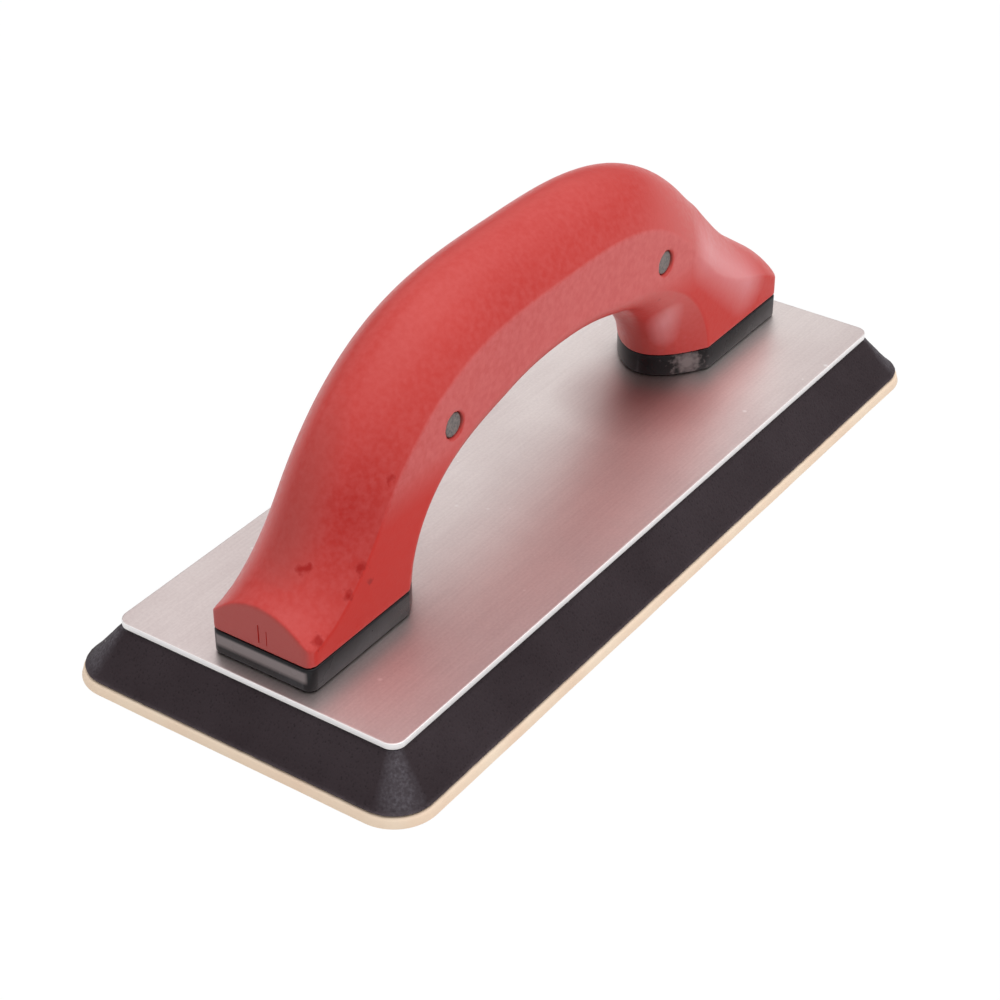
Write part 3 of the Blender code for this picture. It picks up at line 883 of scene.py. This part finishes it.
@dataclass(frozen=True)
class GripFinish(Finish):
    """Red soft overmould, satin, with cloudy and fine pale mottling and a few oily stains; a painted sheen on the
    upper flanks, painted shade as saturated red on the low sides, on the end faces and in two soft spots, painted
    highlights on the toe's ridge and nose, and darker red along sharp edges.
    """

    swing: Pair = (-0.05, 0.08)
    relief: Pair = (0.12, 0.0002)
    body: Colour = screen(204, 70, 65)
    # Deeper red of the cloudy patches, the painted shade spots and the sharp edges.
    deep: Colour = screen(178, 40, 36)
    # Pale pink of the fine mottle all over and of the painted sheen on the upper flanks.
    mottle_and_sheen: Colour = screen(228, 128, 128)
    # Saturated red with no sheen: painted shade on the low upright sides.
    shaded_side_red: Colour = screen(204, 30, 16)
    # Darker, greyer red: painted shade on faces that turn towards the ends.
    dull_and_shade: Colour = screen(162, 76, 72)
    stain: Colour = screen(164, 18, 14)
    # Heights over which the painted sheen on the flanks fades in.
    sheen_low: float = 0.044
    sheen_high: float = 0.054
    # Pale pink of the painted highlights.
    pale: Colour = screen(238, 168, 172)
    # Painted shade: soft darker spots on the heel leg and beside the toe's nose.
    painted_shades: tuple[Spot, ...] = (Spot((-0.084, -0.008, 0.051), 0.022), Spot((0.048, 0.000, 0.033), 0.011))
    # Painted highlights: pale pink streaks along the toe's ridge and down its nose.
    painted_highlights: tuple[Spot, ...] = (Spot((0.066, -0.0130, 0.052), 0.011, (0.020, -0.001, -0.018)),
                                Spot((0.051, -0.0090, 0.040), 0.0055, (0.001, -0.0005, -0.011)))
    stains: tuple[Spot, ...] = (
        Spot((-0.103, -0.014, 0.028), 0.0018), Spot((-0.087, -0.014, 0.039), 0.0019),
        Spot((-0.092, -0.0145, 0.034), 0.0014), Spot((-0.0845, -0.0145, 0.034), 0.0012),
        Spot((-0.096, -0.0065, 0.041), 0.0012, (-0.0015, 0.0016, 0.0)), Spot((-0.074, -0.013, 0.056), 0.0015))

    def paint(self, coat: Coat) -> None:
        """Draw what differs from place to place.

        Args:
            coat: The open material.
        """
        groups = coat.groups
        cloud = coat.effect(groups.mottle, {"Scale": 26.0, "Detail": 4.0, "Low": 0.3, "High": 0.7})
        fine = coat.effect(groups.mottle, {"Scale": 650.0, "Detail": 4.0, "Low": 0.35, "High": 0.7})
        grain = coat.effect(groups.grain, {"Scale": 1000.0, "Cells": 0.4})
        # Darker red along the grip's sharp edges.
        edges = coat.effect(groups.edges, {"Low": 0.53, "High": 0.6, "Patches": 160.0})
        facing = coat.place(groups.facing, {"Low": 0.9, "High": 0.995}).outputs
        # Painted shade: the end faces and the outer faces of the legs are painted a darker, greyer red.
        ends = coat.place(groups.facing, {"Low": 0.62, "High": 0.95}).outputs["Ends"]
        # Painted sheen: upright flanks above these heights are painted a speckled pale pink, standing in for the
        # bright floor that they mirror.
        flank = coat.times(facing["Sides"], coat.span(coat.axes()["Z"], self.sheen_low, self.sheen_high))
        speckled = coat.times(flank, coat.span(fine["Mask"], 0.0, 1.0, 0.2, 0.38))
        # The low upright sides below the sheen are painted saturated red: painted shade where they mirror the darker
        # plate rather than the floor.
        coat.set("Base Color", coat.layers(self.body, (
            (cloud["Mask"], 0.3, self.deep), (coat.spotted(self.painted_shades, soft=True), 0.85, self.deep),
            (fine["Mask"], 0.12, self.mottle_and_sheen), (speckled, 1.0, self.mottle_and_sheen),
            (coat.sums("SUBTRACT", facing["Sides"], flank), 0.8, self.shaded_side_red), (ends, 0.75, self.dull_and_shade),
            (coat.spotted(self.painted_highlights, soft=True), 0.55, self.pale), (edges["Mask"], 0.6, self.deep),
            (coat.spotted(self.stains), 0.85, self.stain))))
        self.vary(coat, fine["Mask"], grain["Height"])


@dataclass(frozen=True)
class ScrewFinish(Finish):
    """Zinc-plated steel with fine turning lines."""

    swing: Pair = (-0.08, 0.08)
    body: Colour = screen(190, 192, 196)
    # Darker tone of the cloudy patches on the zinc.
    dull_and_shade: Colour = screen(140, 142, 146)

    def paint(self, coat: Coat) -> None:
        """Draw what differs from place to place.

        Args:
            coat: The open material.
        """
        groups = coat.groups
        lines = coat.effect(groups.rolled, {"Along": 300.0, "Across": 2500.0})
        cloud = coat.effect(groups.mottle, {"Scale": 500.0})
        coat.set("Base Color", coat.blend(cloud["Mask"], self.body, self.dull_and_shade))
        self.vary(coat, coat.span(lines["Height"], 0.3, 0.7), lines["Height"])


@dataclass
class RubberSole:
    """The gum face and the sponge pad above it."""

    gum_corner: float = 0.0115
    gum_draw: float = 0.0010
    gum_round: float = 0.0009
    gum_foot_round: float = 0.0003
    gum_round_steps: int = 5
    gum_shoulder: float = 0.4
    gum_wave: float = 0.00012
    gum_wave_scale: float = 60.0
    pad_top_corner: float = 0.0035
    pad_round: float = 0.0004
    pad_pitting: float = 0.00010
    pad_pit_scales: Pair = (900.0, 300.0)
    pad_rows: int = 12
    head_room: float = 0.0003
    corner_steps: int = 16
    spacing: float = 0.0016

    def build(self, groups: ShaderGroups) -> None:
        """Build and dress both pieces."""
        self._gum(GumFinish("gum_rubber", 0.62, specular=0.35).make(groups))
        self._pad(SpongeFinish("sponge_rubber", 0.75, specular=0.18).make(groups))

    def _ring(self, length: float, width: float, radius: float, level: float) -> Ring:
        """Ring of the sole at a level."""
        return at_level(rounded_outline(length, width, radius, self.corner_steps, self.spacing), level)

    def _gum(self, material: Material) -> None:
        """Gum sheet with a rounded upper edge and a slightly wavy cut.

        Args:
            material: Its finish.
        """
        low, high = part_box("gum_face")
        length, width = high.x - low.x, high.y - low.y
        shoulder = self.gum_draw * self.gum_shoulder
        top = [(shoulder + draw, rise) for draw, rise in arris(self.gum_round, self.gum_round_steps)]
        rings = []
        for draw, level in slab_profile(low.z, high.z, arris(self.gum_foot_round), top):
            ring = self._ring(length - 2 * draw, width - 2 * draw, self.gum_corner - draw, level)
            for point in ring:
                out = Vector((point.x, point.y * length / width, 0.0)).normalized()
                point -= out * self.gum_wave * (1 + noise.noise(Vector((point.x, point.y, 0.0)) * self.gum_wave_scale))
            rings.append(ring)
        piece = mesh_object("gum_sheet", loft_mesh(rings))
        finish_piece(piece, material, "gum_face")

    def _pad(self, material: Material) -> None:
        """Bevelled sponge pad, pitted like cut sponge, with a pocket for each screw head.

        Args:
            material: Its finish.
        """
        low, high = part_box("sponge_pad")
        plate_low, plate_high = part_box("backing_plate")
        bottom = (high.x - low.x, high.y - low.y, self.gum_corner - self.gum_draw)
        top = (plate_high.x - plate_low.x, plate_high.y - plate_low.y, self.pad_top_corner)
        steps = [(0.0, draw, rise) for draw, rise in arris(self.pad_round)]
        steps += [(row / self.pad_rows, 0.0, 0.0) for row in range(1, self.pad_rows)]
        steps += [(1.0, draw, -rise) for draw, rise in reversed(arris(self.pad_round))]
        rings = []
        for share, draw, lift in steps:
            length, width, corner = (mix(start, end, share) for start, end in zip(bottom, top))
            ring = self._ring(length - 2 * draw, width - 2 * draw, corner, mix(low.z, high.z, share) + lift)
            for point in ring:
                out = Vector((point.x, point.y * length / width, 0.0)).normalized()
                rough = sum(noise.noise(point * scale) for scale in self.pad_pit_scales)
                point -= out * self.pad_pitting * (1 + rough)
            rings.append(ring)
        piece = mesh_object("sponge_body", loft_mesh(rings))
        for screw in SCREWS:
            head_low, head_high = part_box(screw)
            radius = (head_high.y - head_low.y) / 2 + self.head_room
            pocket = upright("pocket", (head_low.x + head_high.x) / 2, head_low.z - self.head_room,
                             high.z + self.head_room, radius)
            combine(piece, pocket, Cut.TAKE)
        finish_piece(piece, material, "sponge_pad")


@dataclass
class BackingPlate:
    """The aluminium plate and the screws that hold the handle to it."""

    corner: float = 0.0035
    top_round: float = 0.0003
    top_round_steps: int = 4
    foot_round: float = 0.00015
    hole_radius: float = 0.0024
    corner_steps: int = 16
    spacing: float = 0.02

    def build(self, groups: ShaderGroups) -> None:
        """Build and dress the plate, and dress the screws.

        Args:
            groups: The shared effects.
        """
        low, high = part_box("backing_plate")
        length, width = high.x - low.x, high.y - low.y
        profile = slab_profile(low.z, high.z, arris(self.foot_round), arris(self.top_round, self.top_round_steps))
        rings = [at_level(rounded_outline(length - 2 * draw, width - 2 * draw, self.corner - draw,
                                          self.corner_steps, self.spacing), level) for draw, level in profile]
        plate = mesh_object("plate_sheet", loft_mesh(rings))
        for screw in SCREWS:
            head_low, head_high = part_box(screw)
            hole = upright("hole", (head_low.x + head_high.x) / 2, low.z - self.corner, high.z + self.corner,
                           self.hole_radius)
            combine(plate, hole, Cut.TAKE)
        material = PlateFinish("plate_aluminium", 0.43, metallic=1.0).make(groups)
        finish_piece(plate, material, "backing_plate", sharp=60.0)
        zinc = ScrewFinish("screw_zinc", 0.34, metallic=1.0).make(groups)
        for screw in SCREWS:
            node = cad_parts[screw]
            node.data.materials.clear()
            node.data.materials.append(zinc)
            LOG.info("%s keeps its packed shape", screw)


@dataclass
class Handle:
    """The arch handle: a rigid core with two feet and four pegs, in a soft grip."""

    heel_foot: float = 0.0500
    toe_foot: float = 0.0507
    foot_corner: float = 0.0026
    foot_nose: float = 0.0132
    foot_nose_sweep: float = math.radians(20)
    foot_thick: float = 0.0063
    end_height: float = 0.0115
    heel_slope: float = 0.45
    toe_slope: float = 0.70
    end_run: float = 0.0300
    heel_blend: float = 0.0079
    toe_blend: float = 0.0114
    crown_shift: float = 0.0036
    heel_fullness: float = 2.34
    toe_fullness: float = 2.09
    grip_depth: float = 0.0330
    heel_back: float = 3.31
    toe_back: float = 3.03
    grip_dome: float = 0.0134
    heel_leg_dome: float = 0.0124
    toe_leg_dome: float = 0.0150
    end_dome: float = 0.0059
    dome_sweep: float = math.radians(40)
    edge_round: float = 0.0043
    edge_sweep: float = math.radians(82)
    widen_from: float = 0.27
    widen_to: float = 0.92
    leg_from: float = 0.57
    leg_to: float = 0.79
    core_width: float = 0.0140
    core_depth: float = 0.0150
    core_chamfer: float = 0.0025
    peg_radius: float = 0.0032
    peg_reach: float = 0.0493
    peg_recess: float = 0.0006
    boss_radius: float = 0.0042
    pilot_radius: float = 0.0024
    boss_cover: float = 0.0021
    gap: float = 0.0003
    window_gap: float = 0.0002
    seam_depth: float = 0.0003
    seam_start: float = 0.0018
    seams: tuple[Triple, ...] = ((0.0, 0.0050, 0.0004), (-0.0023, 0.0041, 0.0002))
    foot_round: float = 0.0005
    voxel: float = 0.0005
    smoothing: int = 3
    smoothing_share: float = 0.5
    half_stations: int = 72
    bar_stride: int = 4
    curve_samples: int = 600
    flat_steps: int = 6
    round_steps: int = 8
    flank_steps: int = 10
    dome_steps: int = 16

    def __post_init__(self) -> None:
        """Take the handle's ends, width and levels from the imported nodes."""
        grip_low, grip_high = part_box("handle_grip")
        core_low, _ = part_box("handle_core")
        self.ends = {End.HEEL: grip_low.x, End.TOE: grip_high.x}
        self.inner = {End.HEEL: grip_low.x + self.heel_foot, End.TOE: grip_high.x - self.toe_foot}
        self.length = grip_high.x - grip_low.x
        self.half_width = (grip_high.y - grip_low.y) / 2
        plate_low, plate_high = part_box("backing_plate")
        self.plate_bottom, self.plate_top = plate_low.z, plate_high.z
        self.foot_bottom = core_low.z
        self.foot_top = self.foot_bottom + self.foot_thick
        self.grip_bottom = grip_low.z
        self.crown = (grip_low.x + grip_high.x) / 2 - self.crown_shift
        self.crown_height = grip_high.z - self.plate_top
        self.arch_rise = self.crown_height - self.grip_depth
        self.core_inset = self.grip_depth / 2
        self.backs = {End.HEEL: (self.heel_back, self.heel_slope, self.heel_blend),
                      End.TOE: (self.toe_back, self.toe_slope, self.toe_blend)}

    def build(self, groups: ShaderGroups) -> None:
        """Build and dress the core and the grip.

        Args:
            groups: The shared effects.
        """
        core = CoreFinish("core_plastic", 0.30, specular=0.2).make(groups)
        finish_piece(self._core(), core, "handle_core", sharp=50.0)
        grip = GripFinish("grip_rubber", 0.36, specular=0.22).make(groups)
        finish_piece(self._grip(), grip, "handle_grip", sharp=60.0)

    def _back_height(self, x: float, end: End) -> float:
        """Height of the back on the middle plane, in one half.

        Args:
            x: Place along the float.
            end: Which half.

        Returns:
            The height.
        """
        fullness, slope, blend = self.backs[end]
        reach = abs(x - self.crown) / (self.length / 2)
        arch = self.plate_top + self.crown_height * (1 - reach ** fullness)
        run = min(end.value * (self.ends[end] - x), self.end_run)
        tail = self.grip_bottom + self.end_height + slope * run
        overlap = max(blend - abs(arch - tail), 0.0)
        return max(arch, tail) + overlap ** 2 / (4 * blend)

    def _back_curve(self, end: End) -> list[Vector]:
        """Half of the back's curve, from the crown out past the end of the handle and below the grip.

        Args:
            end: Which half.

        Returns:
            Points from the crown outwards.
        """
        _, slope, _ = self.backs[end]
        run_out = (self.grip_bottom + self.end_height - self.plate_bottom) / slope
        last = self.ends[end] + end.value * run_out
        places = [mix(self.crown, last, i / self.curve_samples) for i in range(self.curve_samples + 1)]
        return [Vector((x, 0.0, self._back_height(x, end))) for x in places]

    def _inner_curve(self, end: End) -> list[Vector]:
        """Half of the curve over the fingers, from its top down to the plate.

        Args:
            end: Which half.

        Returns:
            Points from the crown downwards.
        """
        fullness = self.heel_fullness if end is End.HEEL else self.toe_fullness
        points = []
        for i in range(self.curve_samples + 1):
            angle = math.pi / 2 * i / self.curve_samples
            across = math.sin(angle) ** (2 / fullness)
            rise = max(math.cos(angle), 0.0) ** (2 / fullness)
            points.append(Vector((mix(self.crown, self.inner[end], across), 0.0,
                                  self.plate_top + self.arch_rise * rise)))
        return points

    @staticmethod
    def _runs(curve: list[Vector]) -> list[float]:
        """Distance of each point of a curve from its first point, along the curve."""
        steps = [(following - point).length for point, following in zip(curve, curve[1:])]
        return list(accumulate(steps, initial=0.0))

    @staticmethod
    def _point(curve: list[Vector], lengths: list[float], distance: float) -> tuple[Vector, Vector]:
        """Point of a curve at a distance along it, with the curve's direction there.

        Args:
            curve: The curve.
            lengths: Distance of each of its points along it.
            distance: How far along the point lies.

        Returns:
            The point and the direction.
        """
        i = min(max(bisect_right(lengths, distance) - 1, 0), len(curve) - 2)
        step = curve[i + 1] - curve[i]
        return curve[i] + step * ((distance - lengths[i]) / step.length), step.normalized()

    def _stations(self, end: End) -> list[Station]:
        """Share, back point and normal, inner point and normal, and dome, at even steps from crown to foot.

        Args:
            end: Which half.

        Returns:
            The stations, from the crown.
        """
        back, inner = self._back_curve(end), self._inner_curve(end)
        leg_dome = self.heel_leg_dome if end is End.HEEL else self.toe_leg_dome
        back_runs, inner_runs = self._runs(back), self._runs(inner)
        stations = []
        for i in range(self.half_stations + 1):
            share = i / self.half_stations
            back_point, back_way = self._point(back, back_runs, share * back_runs[-1])
            inner_point, inner_way = self._point(inner, inner_runs, share * inner_runs[-1])
            back_out = Vector((-end.value * back_way.z, 0.0, end.value * back_way.x))
            inner_out = Vector((-end.value * inner_way.z, 0.0, end.value * inner_way.x))
            dome = mix(self.grip_dome, leg_dome, eased(share, self.widen_from, self.leg_from))
            dome = mix(dome, self.end_dome, eased(share, self.leg_from, self.leg_to))
            stations.append((share, back_point, back_out, inner_point, inner_out, dome))
        return stations

    def _whole_arch(self) -> list[Station]:
        """Stations of both halves in one run, heel to toe, the crown once."""
        return list(reversed(self._stations(End.HEEL)[1:])) + self._stations(End.TOE)

    def _grip_ring(self, share: float, back: Vector, back_out: Vector, belly: Vector, belly_in: Vector,
                   dome: float) -> Ring:
        """Ring of the grip: inner face, rounded edge, flank and domed back.

        Args:
            share: How far from crown to foot the ring stands.
            back: Point of the back on the middle plane.
            back_out: Outward normal there.
            belly: Point of the inner face on the middle plane.
            belly_in: Normal there, into the grip.
            dome: Depth of the rounded back.

        Returns:
            The points of the ring.
        """
        foot = eased(share, self.widen_from, self.widen_to)
        width = mix(self.edge_round, self.half_width, foot)
        rise = mix(self.edge_round, self.foot_nose, foot)
        sweep = mix(self.edge_sweep, self.foot_nose_sweep, foot)
        flat = self.half_width - width
        half = [(flat * step / self.flat_steps, belly) for step in range(self.flat_steps)]
        for across, lift in bow(width, rise, sweep, self.round_steps):
            half.append((flat + across, belly + belly_in * lift))
        low, high = belly + belly_in * rise, back - back_out * dome
        for step in range(1, self.flank_steps):
            half.append((self.half_width, low.lerp(high, step / self.flank_steps)))
        for across, drop in reversed(bow(self.half_width, dome, self.dome_sweep, self.dome_steps)):
            half.append((across, back - back_out * drop))
        right = [Vector((point.x, y, point.z)) for y, point in half]
        left = [Vector((point.x, -y, point.z)) for y, point in half[1:-1]]
        return right + list(reversed(left))

    def _bar(self, name: str, allowance: float, level: float) -> Object:
        """The core's arched bar, grown by an allowance and cut at a level.

        Args:
            name: Name of the object.
            allowance: How far it grows all round.
            level: Height of the cut.

        Returns:
            The bar.
        """
        half_width, half_depth = self.core_width / 2 + allowance, self.core_depth / 2 + allowance
        flat_width, flat_depth = half_width - self.core_chamfer, half_depth - self.core_chamfer
        corners = ((half_width, -flat_depth), (half_width, flat_depth), (flat_width, half_depth),
                   (-flat_width, half_depth), (-half_width, flat_depth), (-half_width, -flat_depth),
                   (-flat_width, -half_depth), (flat_width, -half_depth))
        rings = []
        for _, back, _, belly, *_ in self._whole_arch()[::self.bar_stride]:
            out = (back - belly).normalized()
            middle = belly + out * self.core_inset
            rings.append([middle + out * depth + Vector((0.0, width, 0.0)) for width, depth in corners])
        bm = loft_mesh(rings)
        slice_off(bm, Vector((0.0, 0.0, level)), DOWN)
        return mesh_object(name, bm)

    def _foot(self, end: End) -> Object:
        """One foot of the core: a square end with small corners, and a curved wall towards the fingers.

        Args:
            end: Which foot.

        Returns:
            The foot.
        """
        nose = bow(self.half_width, self.foot_nose, self.foot_nose_sweep, 3 * self.round_steps)
        corner = arris(self.foot_corner, self.round_steps)[1:]
        half = [(self.inner[end] + end.value * rise, across) for across, rise in nose]
        half += [(self.ends[end] - end.value * draw, self.half_width - rise) for draw, rise in corner]
        outline = half + [(x, -y) for x, y in reversed(half[1:])]
        if end is End.TOE:
            outline.reverse()
        edge = arris(self.foot_round)
        profile = slab_profile(self.foot_bottom, self.foot_top, edge, edge)
        return mesh_object("foot", loft_mesh([at_level(inset(outline, draw), level) for draw, level in profile]))

    def _peg_places(self) -> list[Vector]:
        """Middle of each pair of pegs, on the core's line.

        Returns:
            The places, heel first.
        """
        places = []
        for end in End:
            line = [belly + (back - belly).normalized() * self.core_inset
                    for _, back, _, belly, *_ in self._stations(end)]
            places.append(self._point(line, self._runs(line), self.peg_reach)[0])
        return places

    def _core(self) -> Object:
        """Rigid core: arched bar, feet, bosses and pegs in one moulding, with pilot holes.

        Returns:
            The core.
        """
        middle = (self.foot_bottom + self.foot_top) / 2
        core = self._bar("core_moulding", 0.0, middle)
        for end in End:
            combine(core, self._foot(end), Cut.JOIN)
        for screw in SCREWS:
            low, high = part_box(screw)
            x = (low.x + high.x) / 2
            if screw.endswith("outer"):
                combine(core, upright("boss", x, middle, high.z + self.boss_cover, self.boss_radius), Cut.JOIN)
            pilot = upright("pilot", x, self.plate_top, high.z + self.gap, self.pilot_radius)
            combine(core, pilot, Cut.TAKE)
        for place in self._peg_places():
            reach = Vector((0.0, self.half_width - self.peg_recess, 0.0))
            combine(core, post("peg", place - reach, place + reach, self.peg_radius, self.foot_round), Cut.JOIN)
        return core

    def _cut_ends(self, bm: BMesh) -> None:
        """Cut the arch off flat over the feet, and upright at both ends with rounded corners.

        Args:
            bm: The arch.
        """
        slice_off(bm, Vector((0.0, 0.0, self.grip_bottom)), DOWN)
        steps = 2 * self.round_steps
        for end in End:
            slice_off(bm, Vector((self.ends[end], 0.0, 0.0)), Vector((end.value, 0.0, 0.0)))
            for side in (-1, 1):
                middle = Vector((self.ends[end] - end.value * self.foot_corner,
                                 side * (self.half_width - self.foot_corner), 0.0))
                for step in range(1, steps):
                    turn = math.pi / 2 * step / steps
                    way = Vector((end.value * math.cos(turn), side * math.sin(turn), 0.0))
                    slice_off(bm, middle + way * self.foot_corner, way)

    def _grip(self) -> Object:
        """Soft grip with moulded edges, a window over each peg end and room for the core.

        Returns:
            The grip.
        """
        arch = loft_mesh([self._grip_ring(*station) for station in self._whole_arch()])
        self._cut_ends(arch)
        grip = mesh_object("grip_arch", arch)
        wide = Vector((0.0, 2 * self.half_width, 0.0))
        for place in self._peg_places():
            window = post("window", place - wide, place + wide, self.peg_radius + self.window_gap)
            combine(grip, window, Cut.TAKE)
        skin = grip.modifiers.new("skin", "REMESH")
        skin.mode = "VOXEL"
        skin.voxel_size = self.voxel
        soften = grip.modifiers.new("soften", "SMOOTH")
        soften.factor = self.smoothing_share
        soften.iterations = self.smoothing
        settle(grip)
        combine(grip, self._bar("tunnel", self.gap, self.plate_top), Cut.TAKE)
        for screw in SCREWS:
            if screw.endswith("outer"):
                low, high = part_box(screw)
                room = upright("room", (low.x + high.x) / 2, self.plate_top,
                               high.z + self.boss_cover + self.gap, self.boss_radius + self.gap)
                combine(grip, room, Cut.TAKE)
        self._cut_seams(grip)
        return grip

    def _cut_seams(self, grip: Object) -> None:
        """Cut the short upright mould seams into both end faces.

        Args:
            grip: The grip.
        """
        low = self.grip_bottom + self.seam_start
        for end in End:
            for y, rise, width in self.seams:
                bm = bmesh.new()
                bmesh.ops.create_cube(bm, size=1.0)
                bmesh.ops.scale(bm, vec=(2 * self.seam_depth, width, rise), verts=bm.verts)
                bmesh.ops.translate(bm, vec=(self.ends[end], -end.value * y, low + rise / 2), verts=bm.verts)
                combine(grip, mesh_object("seam", bm), Cut.TAKE)


@dataclass
class Studio:
    """Floor, screen, world, lamp and camera."""

    camera_place: Triple = (-0.42934, -0.28989, 0.35336)
    camera_tilt: float = math.radians(55.97)
    camera_turn: float = math.radians(-55.22)
    lens: float = 86.58
    sensor: float = 36.0
    floor_size: float = 6.0
    floor_grey: float = 0.9
    floor_white: float = 0.96
    floor_glow: float = 1.015
    ambient: float = 0.62
    key_place: Triple = (0.15, -0.35, 1.3)
    key_size: float = 1.5
    key_power: float = 11.0
    wall_radius: float = 2.0
    wall_low: float = 0.10
    wall_high: float = 0.85
    wall_grey: float = 0.16
    wall_roughness: float = 0.9
    wall_sides: int = 64

    def build(self) -> None:
        """Set up the studio."""
        self._camera()
        self._floor()
        self._wall()
        self._world()
        self._key()
        bpy.context.scene.view_settings.view_transform = "Standard"

    def _camera(self) -> None:
        """Camera at the photographed angle."""
        data = bpy.data.cameras.new("camera")
        data.sensor_width = self.sensor
        data.lens = self.lens
        camera = put("camera", data)
        camera.location = self.camera_place
        camera.rotation_euler = (self.camera_tilt, 0.0, self.camera_turn)
        bpy.context.scene.camera = camera

    @staticmethod
    def _show(tree: NodeTree, plain: Node, shown: Node, share: float, kind: str) -> None:
        """Let straight, mirrored and see-through rays show one shader, and all others another.

        Args:
            tree: The node tree.
            plain: Shader for the other rays.
            shown: Shader for those rays.
            share: How much of it they get.
            kind: What the tree puts out to, without the ShaderNode prefix.
        """
        sketch = Sketch(tree)
        path = sketch.add("LightPath", {}).outputs
        seen = sketch.most(path["Is Camera Ray"], path["Is Glossy Ray"])
        seen = sketch.most(seen, path["Is Transmission Ray"])
        blend = sketch.add("MixShader", {})
        for socket, value in zip(blend.inputs, (sketch.times(seen, share), plain.outputs[0], shown.outputs[0])):
            sketch.feed(socket, value)
        sketch.add(kind, {"Surface": blend.outputs[0]})

    def _floor(self) -> None:
        """Wide pale floor that shows white and keeps a soft shadow."""
        bm = bmesh.new()
        bmesh.ops.create_grid(bm, x_segments=1, y_segments=1, size=self.floor_size / 2)
        floor = mesh_object("floor", bm)
        material = bpy.data.materials.new("floor_white")
        material.use_nodes = True
        tree = material.node_tree
        tree.nodes.clear()
        sketch = Sketch(tree)
        plain = sketch.add("BsdfDiffuse", {"Color": (self.floor_grey,) * 3})
        glow = sketch.add("Emission", {"Color": WHITE, "Strength": self.floor_glow})
        self._show(tree, plain, glow, self.floor_white, "OutputMaterial")
        floor.data.materials.append(material)

    def _wall(self) -> None:
        """Round grey screen, out of the camera's sight, that gives glossy surfaces something dark to show."""
        rings = []
        for level in (self.wall_low, self.wall_high):
            turns = [2 * math.pi * step / self.wall_sides for step in range(self.wall_sides)]
            rings.append([Vector((math.cos(turn), math.sin(turn), 0.0)) * self.wall_radius
                          + Vector((0.0, 0.0, level)) for turn in turns])
        bm = loft_mesh(rings)
        bmesh.ops.delete(bm, geom=[face for face in bm.faces if len(face.verts) > 4], context="FACES_ONLY")
        wall = mesh_object("screen", bm)
        wall.visible_camera = False
        wall.visible_diffuse = False
        wall.visible_shadow = False
        material = bpy.data.materials.new("screen_grey")
        material.use_nodes = True
        shader = material.node_tree.nodes["Principled BSDF"]
        shader.inputs["Base Color"].default_value = (self.wall_grey, self.wall_grey, self.wall_grey, 1.0)
        shader.inputs["Roughness"].default_value = self.wall_roughness
        wall.data.materials.append(material)

    def _world(self) -> None:
        """Even light all round, white to the camera and the metal."""
        world = bpy.data.worlds.new("studio")
        bpy.context.scene.world = world
        world.use_nodes = True
        tree = world.node_tree
        tree.nodes.clear()
        sketch = Sketch(tree)
        light = sketch.add("Background", {"Color": WHITE, "Strength": self.ambient})
        shown = sketch.add("Background", {"Color": WHITE, "Strength": 1.0})
        self._show(tree, light, shown, 1.0, "OutputWorld")

    def _key(self) -> None:
        """Square soft lamp that looks at the float."""
        data = bpy.data.lights.new("key", "AREA")
        data.size = self.key_size
        data.energy = self.key_power
        lamp = put("key", data)
        lamp.location = self.key_place
        lamp.rotation_euler = (-Vector(self.key_place)).to_track_quat("-Z", "Y").to_euler()


def main() -> None:
    """Build the studio and every sub-assembly, in order."""
    logging.basicConfig(level=logging.INFO, format="%(name)s: %(message)s")
    Studio().build()
    groups = ShaderGroups()
    for assembly in (RubberSole(), BackingPlate(), Handle()):
        assembly.build(groups)
        LOG.info("%s done", type(assembly).__name__)


if __name__ == "__main__":
    main()
